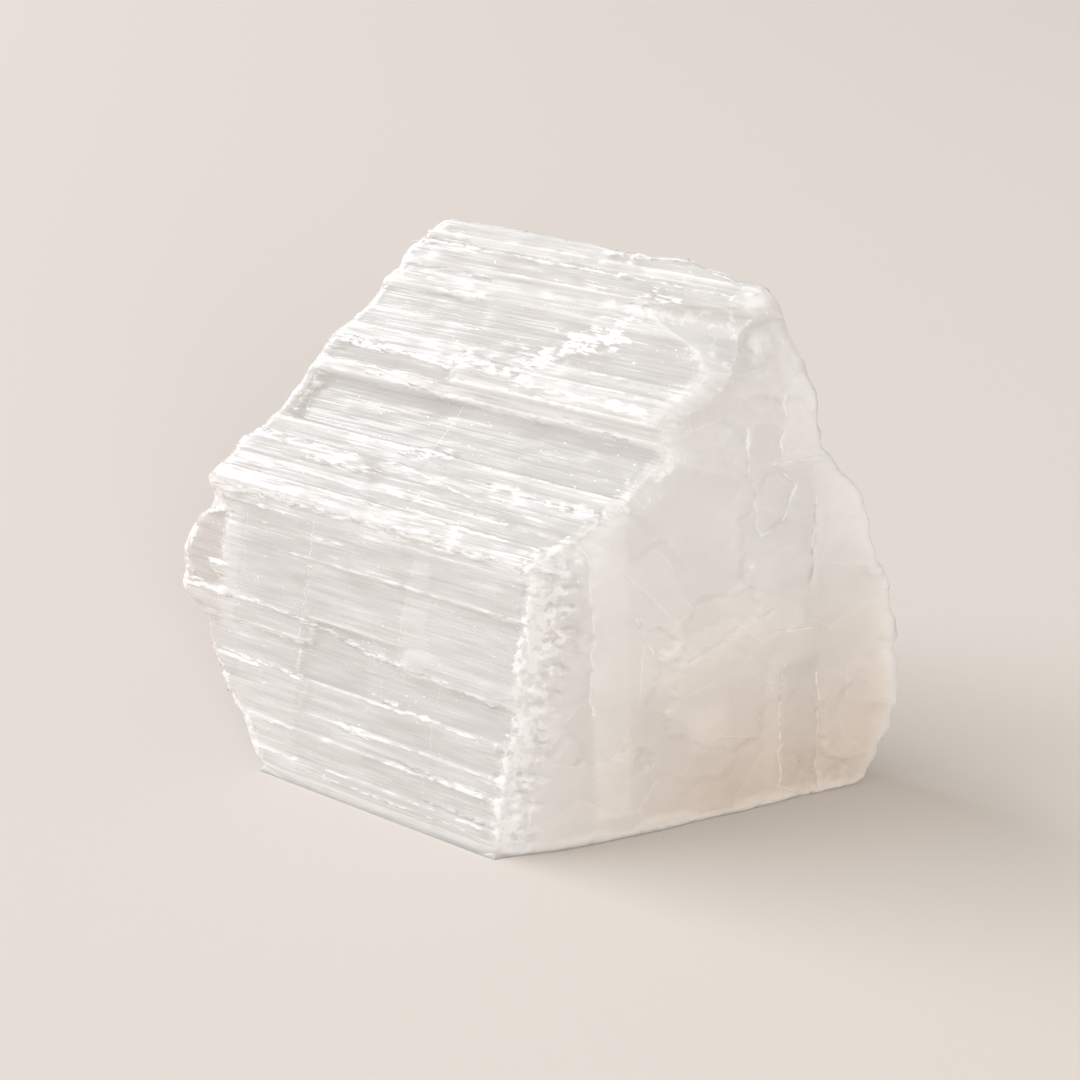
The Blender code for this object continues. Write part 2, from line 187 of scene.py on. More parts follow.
# White: crumbled rims, whose share changes up the section, ledges, marks, chips and cracks; the chamfer's
# white is partly painted glints.
RIM_CRUMBLE = 3.0
RIM_SHARES = ((0.0, 31.0, 33.0, 61.0, 64.0, ALL), (1.0, 1.0, 0.45, 0.45, 0.15, 0.15))
RIM_CRUMBS = ((0.4, 0.9, 1.1), (1.1, 3.6, 3.0))     # share, and lengths across and along
RIM_CHIPS = 2.4
RIM_CARRY = 1.15
EDGE_STEP = 2
EDGE_DEPTH = 0.30
EDGE_BREAKS = (2.6, 0.6)
EDGE_BROKEN = (1.6, 0.25)
MARK_WHITE = 0.68
# white of the near chamfer: partly white chips, partly painted glints of light
CHAMFER_CHIPS_AND_GLINTS = 0.53
FAR_WHITE = 0.36
CRACK_WHITE = 0.95

# Silk and milk beside the rims, painted light over the shade under the ledges, and warmth of the sides, whose
# warmth at the foot is painted warm light bounced from the floor.
RIM_BEVEL = 1.8
RIM_SILK = 0.75
RIM_EDGE = 1.2
RIM_MILK = 0.15
RIM_COOL = 0.6
UNDER_SLOPE = 0.8
# painted light: how much lighter and silkier places under a ledge are made, to lift its shade
UNDER_PAINTED_LIGHT = 0.60
SIDE_WARM = 0.10
FAR_WARM = 0.35
FAR_WARM_X = -35.0
# painted warm light bounced from the floor, strongest at the foot of the sides
FOOT_BOUNCE_WARMTH = 0.25
FOOT_BOUNCE_ARC = 1.5
FOOT_BOUNCE_FULL = 1.5

# The noise's table, and the steps and shifts that keep its uses apart.
GRAIN_TABLE = 64
MARK_STEPS = (7.3, 3.7)
MARK_SHIFTS = (5.0, 11.0)
CRUMB_SHIFTS = (9.0, 21.0)
RIM_STEP = 40.0
CRACK_STEPS = (0.37, 5.1)

# Splinters: turns and scales from lowest to highest, and where they may lie by rise and by height.
SPLINTER_SIDES = 5
SPLINTER_ENDS = (0.2, 0.5)
SPLINTER_TURNS = ((0.0, -0.12, -0.16), (2 * pi, 0.12, 0.16))
SPLINTER_SCALES = ((0.4, 0.5, 0.4), (1.5, 1.3, 1.0))
SPLINTER_RISES = (0.03, 0.07)
SPLINTER_HEIGHTS = (0.8, 1.6)

# ---------------------------------------------------------------- where each finish lies

# Bands up the front, in mm: arcs low to high along the section from the front toe, and x
# far to near where a band isn't as long as the block.  silk runs from clear and glassy (0)
# to white satin (1), and ply is how strongly the band is split into fine strips.
Band = namedtuple("Band", "low high silk ply far near", defaults=(-ALL, ALL))
BANDS = (
    # painted light at the foot: lighter and silkier, standing in for light bounced up from the floor over the
    # shade at the contact
    Band(0.0, 1.2, 0.80, 0.45),
    Band(1.2, 3.0, 0.30, 0.55),
    Band(3.0, 4.3, 0.36, 0.75),
    Band(4.3, 6.2, 0.28, 0.45),
    Band(6.2, 8.8, 0.36, 0.85),
    Band(8.8, 12.2, 0.28, 0.40),
    Band(12.2, 16.3, 0.24, 0.40),
    Band(16.3, 19.2, 0.30, 0.65),
    Band(19.2, 25.0, 0.26, 0.30),
    Band(25.0, 29.0, 0.24, 0.50),
    Band(18.8, 29.0, 0.18, 0.40, -ALL, -36.3),  # clear block at the far end
    # the main ridge: silkier, partly white satin and partly a painted highlight where the ridge catches the
    # light
    Band(29.0, 31.0, 0.42, 1.25),  # main ridge
    Band(31.0, 33.2, 0.18, 1.05),
    Band(33.2, 35.0, 0.10, 0.80),
    Band(35.0, 36.2, 0.14, 0.70),
    Band(36.2, 38.2, 0.24, 0.95),
    # painted light: this band is made lighter to lift the shade along it, under the ledge above
    Band(38.2, 39.0, 0.34, 0.75),
    Band(39.0, 44.3, 0.02, 0.20),  # glassy flat half way up
    # painted light: this band is made lighter to lift the shade under the silky roll above it
    Band(44.3, 45.6, 0.48, 0.90),
    Band(45.6, 48.6, 0.12, 0.80, -ALL, -14.0),
    Band(45.6, 48.6, 0.38, 1.20, -14.0),  # silky roll above the flat
    Band(48.6, 50.0, 0.34, 0.90),
    Band(50.0, 54.4, 0.09, 0.55),  # broad striped flat
    Band(54.4, 57.2, 0.28, 0.85),
    Band(57.2, 59.4, 0.12, 0.55),
    Band(59.4, 62.0, 0.16, 0.50),
    Band(59.5, 62.0, 0.08, 0.10, -24.0, -15.0),  # glossy patch
    Band(62.0, 64.5, 0.34, 0.90),  # crest
)
BACK_BAND = (0.26, 0.70)

# Crumbled white edges and chips, from (arc, x) to (arc, x) in mm, with the width of the
# white part and how far it stands proud; the main ridge's white is partly a painted highlight.
Mark = namedtuple("Mark", "arc0 x0 arc1 x1 width rise")
MARKS = (
    Mark(19.3, -41.5, 18.7, -35.5, 0.50, 0.10),    # the long ledge across the front
    Mark(18.7, -35.5, 19.0, -31.0, 0.45, 0.10),
    Mark(19.0, -31.0, 18.5, -24.7, 0.40, 0.10),
    Mark(18.5, -24.7, 17.0, -17.0, 0.45, 0.12),
    Mark(17.0, -17.0, 16.7, -8.3, 0.50, 0.12),
    Mark(16.7, -8.3, 16.0, -2.5, 0.50, 0.12),
    Mark(16.5, -37.0, 15.8, -25.0, 0.25, 0.05),
    Mark(15.6, -41.5, 16.4, -39.8, 0.80, 0.18),
    Mark(25.2, -16.0, 24.8, -1.0, 0.35, 0.10),
    Mark(12.6, -35.0, 12.3, -25.0, 0.25, 0.06),
    Mark(12.6, -14.5, 12.2, -8.0, 0.30, 0.10),
    Mark(8.6, -19.0, 8.2, -16.5, 0.55, 0.12),
    Mark(6.8, -11.0, 6.3, -2.5, 0.45, 0.12),
    Mark(3.7, -8.0, 3.4, -2.0, 0.40, 0.10),
    Mark(2.0, -25.0, 1.9, -4.0, 0.22, 0.05),
    # the main ridge's white: partly white satin, partly a painted highlight where the ridge catches the light
    Mark(30.4, -37.0, 30.3, 2.0, 0.80, 0.08),      # the main ridge
    Mark(35.3, -27.0, 35.6, -20.0, 0.70, 0.15),
    Mark(37.0, -18.0, 35.5, -8.0, 0.30, 0.08),
    Mark(37.3, -6.0, 37.0, 5.5, 0.60, 0.08),
    Mark(38.6, -16.3, 38.9, -12.8, 0.80, 0.20),
    Mark(45.0, -24.0, 44.6, -12.0, 0.40, 0.10),
    Mark(44.7, -11.0, 44.4, -4.0, 0.35, 0.06),
    Mark(44.9, -2.5, 44.5, 5.0, 0.50, 0.08),
    Mark(46.3, -9.0, 46.0, 1.0, 0.28, 0.05),
    Mark(48.3, -28.0, 47.3, -15.0, 0.25, 0.08),
    Mark(47.4, -29.0, 47.8, -24.0, 0.65, 0.15),
    Mark(48.6, -14.0, 48.2, -7.0, 1.10, 0.10),     # white patch on the silky roll
    Mark(47.4, -7.0, 46.9, 6.5, 0.70, 0.03),
    Mark(50.0, -7.0, 53.5, 0.0, 1.90, 0.05),       # broken side of the gouge
    Mark(53.5, 0.0, 57.0, 2.5, 2.30, 0.05),
    Mark(54.6, -19.0, 54.9, -14.0, 0.45, 0.12),
    Mark(57.0, -24.0, 57.0, -14.0, 0.25, 0.08),
    Mark(59.5, -25.0, 59.4, -4.0, 0.28, 0.08),
    Mark(61.6, -0.5, 61.9, 6.0, 0.70, 0.20),
    Mark(62.4, -25.0, 62.4, 12.0, 0.35, 0.05),     # the crest
)

# Cracks over the near end, as corners (u, v) in mm: u runs back from the chamfer's foot, v up.
END_CRACKS = (
    ((21.0, 41.0), (21.6, 36.0), (22.7, 30.0), (25.0, 31.0), (26.5, 34.5), (25.2, 36.2)),
    ((5.0, 15.0), (5.2, 24.0), (5.0, 34.0)),
    ((24.3, 37.2), (27.0, 37.0), (30.0, 37.1)),
    ((24.5, 38.0), (24.7, 44.0)),
    ((28.4, 24.0), (28.7, 33.0)),
    ((25.2, 1.0), (24.8, 9.0), (25.3, 16.0)),
    ((29.4, 1.0), (29.7, 8.0), (29.4, 14.0)),
    ((9.5, 24.0), (11.0, 20.0), (14.0, 18.0), (18.0, 19.4), (21.0, 21.0), (24.0, 22.0)),
    ((24.0, 19.6), (28.0, 19.3)),
    ((23.0, 0.4), (25.0, 2.2), (27.2, 0.6)),
)

# How (u, v) lie on that end: y = END_FOOT_Y + END_ALONG_Y * u + END_LIFT_Y * v, and z = END_LIFT_Z * v.
END_FOOT_Y = 3.14
END_ALONG_Y = 0.755
END_LIFT_Y = 0.091
END_LIFT_Z = 0.990

# Half width of a crack, the step along it, how far it wanders, the room it needs and its depth.
CRACK_HALF = 0.13
CRACK_POINTS = 0.45
CRACK_WANDER = 0.45
CRACK_CLEAR = ((0.5, 0.0), (-0.5, 0.0), (0.0, 0.5), (0.0, -0.5), (0.0, 0.0))
CRACK_DEPTH = 0.07
NO_LENGTH = 1e-9

# Cleavage cracks across the fibres, seen as thin lines: arc and x at each end, and half width.
CROSS_CRACKS = (
    (12.0, -25.4, 30.0, -24.6, 0.13),
    (17.5, -13.6, 23.5, -13.2, 0.10),
    (19.5, -36.4, 29.0, -36.0, 0.09),
    (15.0, -33.2, 28.0, -32.8, 0.05),
    (38.0, -15.2, 44.0, -13.0, 0.08),
    (40.3, -30.4, 44.5, -30.0, 0.07),
    (3.0, -9.2, 16.0, -8.6, 0.05),
)

# Patches that a hidden cleavage makes lighter or darker: low, high, far, near, tone.
PATCHES = (
    (15.0, 28.5, -36.2, -33.2, 0.16),
    (17.0, 28.5, -13.4, -10.5, 0.16),
    (17.0, 28.5, -10.5, -3.0, 0.05),
    (19.5, 29.0, -33.0, -24.8, -0.05),
    (0.5, 12.0, -33.0, -25.2, 0.10),
    (12.2, 18.5, -25.2, -17.0, -0.10),
    (4.0, 12.0, -16.0, -8.0, -0.06),
    (39.2, 44.2, -13.8, -6.0, 0.07),
    (39.2, 44.2, -34.0, -30.0, 0.10),
    (50.2, 54.2, -28.0, -20.0, 0.07),
)

# The ends' tone and warmth, and patches over the near end, most from hidden cleavage and the last one painted
# light at the foot: u low, u high, v low, v high, tone.
END_BASE = 0.60
END_WARM = 0.10
END_PATCHES = (
    (-5.0, 5.0, -5.0, 60.0, -0.08),
    (5.0, 8.7, 3.0, 38.0, 0.16),
    (8.7, 20.5, 22.0, 40.0, 0.03),
    (8.7, 14.0, 16.0, 23.0, 0.10),
    (14.0, 20.0, 17.5, 22.0, 0.16),
    (12.0, 26.0, 42.0, 56.0, -0.05),
    (20.5, 24.3, 28.0, 41.0, -0.04),
    (24.5, 40.0, 37.0, 60.0, 0.14),
    (24.3, 28.4, 24.0, 36.0, -0.08),
    (28.4, 40.0, 20.0, 36.0, 0.06),
    (10.0, 23.0, 2.0, 15.0, -0.07),
    (14.5, 19.0, 8.0, 12.5, 0.10),
    (25.0, 29.4, 1.0, 15.5, -0.16),
    (29.4, 40.0, -5.0, 13.5, -0.02),
    # painted light: the very foot of the near end is made lighter, over the shade at its contact with the
    # floor
    (-5.0, 40.0, -5.0, 1.4, 0.32),
)
PATCH_SOFT = 0.35
PATCH_WANDER = 1.5
PATCH_SWAY = 2.7

# Painted warm light from the floor on the near end: it fades out over this rise, and comes in over this run
# from the chamfer.
BOUNCE_WARM_RISE = (1.1, 26.0)
BOUNCE_WARM_RUN = (0.15, 22.0)


# ---------------------------------------------------------------- section and rays, in mm


def arc_lengths(corners):
    """Arc length at each corner of an open outline."""
    lengths = [0.0]
    for (y0, z0), (y1, z1) in zip(corners, corners[1:]):
        lengths.append(lengths[-1] + hypot(y1 - y0, z1 - z0))
    return lengths


ARCS = arc_lengths(SECTION)
RIDGE_ARC = ARCS[RIDGE]
CREST_ARC = ARCS[CREST]
END_ARC = ARCS[-1]


def section_point(arc):
    """The (y, z) of the section at an arc length."""
    arc = min(max(arc, 0.0), END_ARC)
    index = min(bisect_right(ARCS, arc), len(ARCS) - 1)
    share = (arc - ARCS[index - 1]) / (ARCS[index] - ARCS[index - 1])
    return Vector(SECTION[index - 1]).lerp(Vector(SECTION[index]), share)


def section_inward(arc):
    """Unit (y, z) pointing into the solid, turning slowly past the section's corners."""
    run = section_point(arc + RAY_BLEND) - section_point(arc - RAY_BLEND)
    return Vector((run.y, -run.x)).normalized()


def plane_x(plane, y, z):
    """x of an end plane over (y, z)."""
    return plane.at + plane.per_y * y + plane.per_z * z


def slant_place(y, z):
    """How far up the slanted face (y, z) lies, as an arc length, and how far under that face."""
    rise = (Vector(SECTION[CREST]) - Vector(SECTION[RIDGE])).normalized()
    away = Vector((y, z)) - Vector(SECTION[RIDGE])
    return RIDGE_ARC + away.dot(rise), away.x * rise.y - away.y * rise.x


def near_x(y, z):
    """x of the near end, roughly."""
    planes = [NEAR_FACE, NEAR_STRIP, NEAR_CHAMFER]
    if slant_place(y, z)[0] < GOUGE_TOP:
        planes.append(GOUGE_FLOOR)
    return min(plane_x(plane, y, z) for plane in planes)


def by_gouge(y, z):
    """Whether (y, z) lies in the gouge or beside it."""
    up, under = slant_place(y, z)
    return GOUGE_ARCS[0] < up < GOUGE_ARCS[1] and under < GOUGE_UNDER


def far_x(y, z):
    """x of the far end, roughly."""
    return max(plane_x(plane, y, z) for plane in (FAR_FACE, FAR_WALL, FAR_UNDERCUT))


class Solid:
    """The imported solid, in mm in its section's frame, felt out by rays."""

    def __init__(self):
        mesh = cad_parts[NODE].data
        points = [(vertex.co - FRAME_SHIFT) / MM for vertex in mesh.vertices]
        faces = [tuple(face.vertices) for face in mesh.polygons]
        self.tree = BVHTree.FromPolygons(points, faces, epsilon=RAY_SLACK)

    def depth(self, arc, x):
        """How far under the section the solid's side lies at a place, or None."""
        inward = section_inward(arc)
        start = section_point(arc) - inward * RAY_START
        height = max(start.y, FOOT_LIFT)
        hit = self.tree.ray_cast((x, start.x, height), (0.0, *inward), RAY_START + RAY_REACH)
        return None if hit[0] is None else hit[3] - RAY_START

    def rim(self, y, z, x, sign):
        """x at which the end towards that sign lies over (y, z), looked for from x outwards."""
        hit = self.tree.ray_cast((x, y, z), (sign, 0.0, 0.0), RIM_REACH)
        return None if hit[0] is None else hit[0].x

    def end(self, y, z, sign):
        """x of the end face round (y, z), looked for from outside inwards and evened out, or None."""
        found = []
        for aside, up in FACE_PROBES:
            start = (sign * ALL, y + aside * FACE_BLUR, z + up * FACE_BLUR)
            hit = self.tree.ray_cast(start, (-sign, 0.0, 0.0), 2 * ALL)
            if hit[0] is not None:
                found.append(hit[0].x)
        if not found:
            return None
        found = np.sort(found)
        return float(found[np.abs(found - found[len(found) // 2]) < FACE_SPREAD].mean())


class Grain:
    """Smooth repeatable noise over a plane, from 0 to 1."""

    def __init__(self, seed):
        self.table = np.random.default_rng(seed).random((GRAIN_TABLE, GRAIN_TABLE))

    def row(self, i, j, share):
        """Values between neighbours i and i + 1 of the table's row j, which repeats."""
        j = j % GRAIN_TABLE
        return self.table[i % GRAIN_TABLE, j] * (1 - share) + self.table[(i + 1) % GRAIN_TABLE, j] * share

    def __call__(self, a, b):
        """The noise at each pair of coordinates."""
        a, b = np.broadcast_arrays(np.asarray(a, float), np.asarray(b, float))
        i, j = np.floor(a).astype(int), np.floor(b).astype(int)
        s, t = a - i, b - j
        s, t = s * s * (3 - 2 * s), t * t * (3 - 2 * t)
        return self.row(i, j, s) * (1 - t) + self.row(i, j + 1, s) * t


# ---------------------------------------------------------------- the fine mesh


def row_arcs():
    """Arc length of each row of the side, and y of each row of the base after them."""
    front = np.arange(FOOT_LIFT, CREST_ARC, FRONT_ROW)
    back = np.arange(CREST_ARC, END_ARC - FOOT_LIFT, BACK_ROW)
    base_y = np.linspace(SECTION[-1][0] - BASE_INSET, SECTION[0][0] + BASE_INSET, BASE_ROWS)
    return np.concatenate((front, back)), base_y


def column_x(near_rim, far_rim, near_nominal, far_nominal):
    """x of every column of one row: even along the fibres, closer near both ends."""
    near = near_rim - NEAR_COLUMN * np.arange(NEAR_COLUMNS)[::-1]
    far = far_rim + FAR_COLUMN * np.arange(FAR_COLUMNS)
    steps = np.arange(MIDDLE_COLUMNS)
    first = far_nominal + FAR_COLUMN * (FAR_COLUMNS + 1)
    last = near_nominal - NEAR_COLUMN * (NEAR_COLUMNS + 2)
    middle = first + (last - first) * steps / (MIDDLE_COLUMNS - 1)
    middle = np.maximum(middle, far[-1] + SQUEEZED_COLUMN * (steps + 1))
    middle = np.minimum(middle, near[0] - SQUEEZED_COLUMN * (MIDDLE_COLUMNS - steps))
    return np.concatenate((far, middle, near))


def round_gaps(arcs):
    """How far the rows lie from each other, round the closed outline."""
    gaps = np.abs(arcs[:, None] - arcs)
    return np.minimum(gaps, arcs[-1] - gaps)


def blurred(data, gaps, reach):
    """A value for each row, smoothed over the rows within reach."""
    weight = np.exp(-0.5 * (gaps / reach) ** 2)
    return weight @ data / weight.sum(1)


def eased_ends(ends, arcs):
    """Where each row ends, drawn in beside rows that end short and evened round the outline."""
    gaps = round_gaps(arcs)
    drawn = np.empty(ends.shape)
    for i, gap in enumerate(gaps):
        close = ends[gap < END_DRAW]
        drawn[i] = close[:, 0].min(), close[:, 1].max()
    back = np.clip((arcs - CREST_ARC) / END_TURN, 0.0, 1.0) * (arcs < END_ARC)
    even = END_EVEN + (FAR_EVEN - END_EVEN) * back
    return np.stack((blurred(drawn[:, 0], gaps, END_EVEN), blurred(drawn[:, 1], gaps, even[:, None])), 1)


def row_ends(solid, y, z, inner):
    """x of both ends of the row over (y, z), where inner gives the (y, z) to feel from at an x."""
    ends = []
    for end_x, probe, sign in ((near_x, NEAR_PROBE, 1.0), (far_x, FAR_PROBE, -1.0)):
        nominal = end_x(y, z)
        start = nominal - sign * probe
        found = solid.rim(*inner(start), start, sign)
        ends.append(nominal if found is None else found)
    return ends


def side_row_ends(solid, arc):
    """x of both ends of one row of the side, drawn in where the crest meets the far end."""
    point, inward = section_point(arc), section_inward(arc)

    def inner(x):
        place = point + inward * ((solid.depth(arc, x) or 0.0) + RIM_INSET)
        return place.x, max(place.y, RIM_INSET)

    near, far = row_ends(solid, *point, inner)
    return near, far + CORNER_INSET * max(0.0, 1.0 - abs(arc - CREST_ARC) / CORNER_REACH) ** 2


def side_rows(solid):
    """Places and depths of the vertices of the side's and the base's rows, and the rows' arcs."""
    side_arcs, base_y = row_arcs()
    arcs = np.concatenate((side_arcs, END_ARC + base_y[0] - base_y))
    rims = [side_row_ends(solid, arc) for arc in side_arcs]
    rims += [row_ends(solid, y, 0.0, lambda _x, y=y: (y, RIM_INSET)) for y in base_y]
    rims = eased_ends(np.array(rims), arcs)
    places, depths = [], []
    for arc, ends in zip(side_arcs, rims):
        point, inward = section_point(arc), section_inward(arc)
        depth = 0.0
        row, row_depths = [], []
        for x in column_x(*ends, plane_x(NEAR_FACE, *point), far_x(*point)):
            found = solid.depth(arc, x)
            depth = depth if found is None else found
            row_depths.append(depth)
            row.append((x, point.x + inward.x * depth, max(point.y + inward.y * depth, FOOT_LIFT)))
        places.append(row)
        depths.append(row_depths)
    for y, ends in zip(base_y, rims[len(side_arcs):]):
        places.append([(x, y, 0.0) for x in column_x(*ends, *ends)])
        depths.append([0.0] * len(places[-1]))
    return np.array(places), np.array(depths), arcs


def fillet(distance, radius):
    """How deep a rounded rim lies below its flat face, at a distance along the face."""
    inside_round = np.clip(radius - distance, 0.0, radius)
    return radius - np.sqrt(np.maximum(radius**2 - inside_round**2, 0.0))


def rim_radius(arcs, grain):
    """Radius of the worn rim of each row, at the near end and at the far end."""
    worn = []
    for end, (low, high) in enumerate(RIM_ROUNDS):
        worn.append(low + (high - low) * grain(arcs / RIM_WEAR + RIM_STEP * end, RIM_STEP * end))
    return np.stack(worn, 1)


def round_rims(places, rims, arcs, radius):
    """Round the side's rows over towards both ends, in place."""
    inwards = np.array([section_inward(min(arc, END_ARC)) for arc in arcs])
    for end, sign in ((0, 1.0), (1, -1.0)):
        bend, rim = radius[:, end, None], rims[:, end, None]
        gap = sign * (rim - places[:, :, 0])
        worn = gap < bend
        moved = ROUND_START * bend + (1.0 - ROUND_START) * gap
        drop = fillet(moved, bend) * (places[:, :, 2] > 0.0)
        places[:, :, 0] = np.where(worn, rim - sign * moved, places[:, :, 0])
        for axis in (0, 1):
            pushed = places[:, :, axis + 1] + inwards[:, None, axis] * drop
            places[:, :, axis + 1] = np.where(worn, pushed, places[:, :, axis + 1])
    side = arcs < END_ARC
    places[side, :, 2] = np.maximum(places[side, :, 2], FOOT_LIFT)


def soften_rows(places, arcs):
    """Smooth the side, in place: along every row, and across the rows at the back and near the rims."""
    columns = np.arange(places.shape[1])
    rim_gap = np.minimum(columns, columns[::-1]) / SOFT_COLUMNS
    at_rim = np.clip(1.0 - rim_gap, 0.0, 1.0)[:, None]
    side = np.flatnonzero(arcs < END_ARC)
    for _turn in range(COLUMN_TURNS):
        beside = (places[:, 2:, 1:] + places[:, :-2, 1:]) / 2
        places[side, FAR_COLUMNS:-NEAR_COLUMNS, 1:] += 0.5 * (
            beside[side, FAR_COLUMNS - 1:1 - NEAR_COLUMNS] - places[side, FAR_COLUMNS:-NEAR_COLUMNS, 1:])
    source = places.copy()
    for i in side:
        behind = np.clip((arcs[i] - CREST_ARC) / SOFT_BACK + 1.0, 0.0, 1.0)
        for reach, share in ((SOFT_BACK, behind), (SOFT_RIM, at_rim * (1.0 - behind))):
            weight = np.exp(-0.5 * ((arcs[side] - arcs[i]) / reach) ** 2)
            mean = np.tensordot(weight / weight.sum(), source[side], 1)
            places[i, :, 1:] += ((mean - source[i]) * share)[:, 1:]


def ease_crest(places, arcs):
    """Roll the rows over the crest near the near end, where it is chipped, in place."""
    rows = np.flatnonzero(np.abs(arcs - CREST_ARC) < CREST_EASE)
    share = ((arcs[rows] - arcs[rows[0]]) / (arcs[rows[-1]] - arcs[rows[0]]))[:, None, None]
    start, end = places[rows[0]], places[rows[-1]]
    middle = places[rows].mean(0)
    turn = 2.0 * middle - 0.5 * (start + end)
    rolled = (1 - share) ** 2 * start + 2 * share * (1 - share) * turn + share**2 * end
    columns = np.arange(places.shape[1])[::-1, None]
    places[rows] += (rolled - places[rows]) * np.clip(2.0 - columns / EASE_COLUMNS, 0.0, 1.0)


def patch_tone(patches, across, along, grain):
    """Lighter and darker patches with slightly wandering sides."""
    tone = np.zeros(across.shape)
    for number, (low, high, far, near, amount) in enumerate(patches):
        wander = PATCH_WANDER * (grain(across / PATCH_SWAY + number, along / PATCH_SWAY) - 0.5)
        ends = np.minimum(along - far, near - along) + wander
        gap = np.minimum(np.minimum(across - low, high - across), ends)
        tone += amount * np.clip(0.5 + gap / PATCH_SOFT, 0.0, 1.0)
    return tone


def band_values(arcs, x):
    """silk and ply over the rows and columns of the side."""
    silk = np.full(x.shape, BACK_BAND[0])
    ply = np.full(x.shape, BACK_BAND[1])
    for band in BANDS:
        inside_band = (arcs[:, None] >= band.low) & (arcs[:, None] < band.high)
        inside_band = inside_band & (x >= band.far) & (x <= band.near)
        silk[inside_band] = band.silk
        ply[inside_band] = band.ply
    ply[arcs > END_ARC] = 0.0
    return silk, ply


def mark_values(arcs, x, grain):
    """White, rise and lumpiness that the crumbled marks give the side."""
    white, rise, lumps = np.zeros((3, *x.shape))
    place = np.broadcast_to(arcs[:, None], x.shape)
    for number, mark in enumerate(MARKS):
        span = mark.x1 - mark.x0
        share = np.clip((x - mark.x0) / span, 0.0, 1.0)
        over = np.maximum(np.maximum(mark.x0 - x, x - mark.x1), 0.0)
        across = place - (mark.arc0 + (mark.arc1 - mark.arc0) * share)
        across += 0.5 * mark.width * (grain(x / MARK_SWAY, number * MARK_STEPS[0]) - 0.5)
        frayed = grain(x / MARK_FRAY[0] + MARK_SHIFTS[0], place / MARK_FRAY[1] + number)
        swollen = grain(x / MARK_SWELL, number * MARK_STEPS[1] + MARK_SHIFTS[1])
        reach = mark.width * (MARK_FRAYED[0] + MARK_FRAYED[1] * frayed)
        reach *= MARK_SWOLLEN[0] + MARK_SWOLLEN[1] * swollen
        close = np.clip(1.0 - np.hypot(across, over * MARK_BLUNT) / reach, 0.0, 1.0)
        white = np.maximum(white, MARK_WHITE * np.clip(close * MARK_FULL, 0.0, 1.0))
        rise = np.maximum(rise, mark.rise * np.sqrt(close))
        if mark.width > WIDE_MARK:
            lumps = np.maximum(lumps, WIDE_LUMPS * close)
    return white, rise, lumps


def ledge_values(depth, arcs, x, grain):
    """White along the outer edge of each ledge, and how far each place lies under one, which sets the painted
    light over the ledge's shade.
    """
    below, above = np.roll(depth, EDGE_STEP, 0), np.roll(depth, -EDGE_STEP, 0)
    under = np.clip((below - above) / (2 * EDGE_STEP * FRONT_ROW * UNDER_SLOPE), 0.0, 1.0)
    under[arcs > CREST_ARC] = 0.0
    bend = below + above - 2.0 * depth
    edge = np.clip(bend / EDGE_DEPTH, 0.0, 1.0)
    place = np.broadcast_to(arcs[:, None], x.shape)
    broken = grain(x / EDGE_BREAKS[0], place / EDGE_BREAKS[1] + 3.0)
    broken = np.clip(EDGE_BROKEN[0] * broken - EDGE_BROKEN[1], 0.0, 1.0)
    edge *= broken
    edge[arcs > END_ARC] = 0.0
    return edge, under


def inside_outline(outline, points):
    """Which (y, z) points lie in a closed outline."""
    found = np.zeros(len(points), bool)
    y, z = points[:, 0], points[:, 1]
    for (y0, z0), (y1, z1) in zip(outline, np.roll(outline, -1, 0)):
        if z0 == z1:
            continue
        crosses = (z0 > z) != (z1 > z)
        found ^= crosses & (y < (y1 - y0) * (z - z0) / (z1 - z0) + y0)
    return found


def crack_lines(grain):
    """The near end's cracks as (y, z) places a short step apart, wandering a little."""
    lines = []
    for number, corners in enumerate(END_CRACKS):
        places = []
        for u, v in corners:
            places.append(Vector((END_FOOT_Y + END_ALONG_Y * u + END_LIFT_Y * v, END_LIFT_Z * v)))
        line = [places[0]]
        for start, end in zip(places, places[1:]):
            count = max(1, round((end - start).length / CRACK_POINTS))
            line.extend(start.lerp(end, step / count) for step in range(1, count + 1))
        for step, place in enumerate(line):
            place.x += CRACK_WANDER * (float(grain(step * CRACK_STEPS[0], number * CRACK_STEPS[1])) - 0.5)
        lines.append(line)
    return lines


def crack_net(lines, outline):
    """Points and edges for the near end's cracks: a middle line and both lips of each."""
    points, edges = [], []
    for line in lines:
        for lip in (-CRACK_HALF, 0.0, CRACK_HALF):
            previous = None
            for step, place in enumerate(line):
                run = line[min(step + 1, len(line) - 1)] - line[max(step - 1, 0)]
                moved = place + Vector((run.y, -run.x)).normalized() * lip
                corners = [(moved.x + a, moved.y + b) for a, b in CRACK_CLEAR]
                if not inside_outline(outline, np.array(corners)).all():
                    previous = None
                    continue
                points.append(moved)
                if previous is not None:
                    edges.append((previous, len(points) - 1))
                previous = len(points) - 1
    return points, edges


def crack_gaps(lines, points):
    """How far each (y, z) point lies from the nearest crack."""
    nearest = np.full(len(points), ALL)
    for line in lines:
        for start, end in zip(line, line[1:]):
            start, run = np.array(start), np.array(end - start)
            share = np.clip(((points - start) @ run) / max(run @ run, NO_LENGTH), 0.0, 1.0)
            gap = np.linalg.norm(points - start - share[:, None] * run, axis=1)
            nearest = np.minimum(nearest, gap)
    return nearest


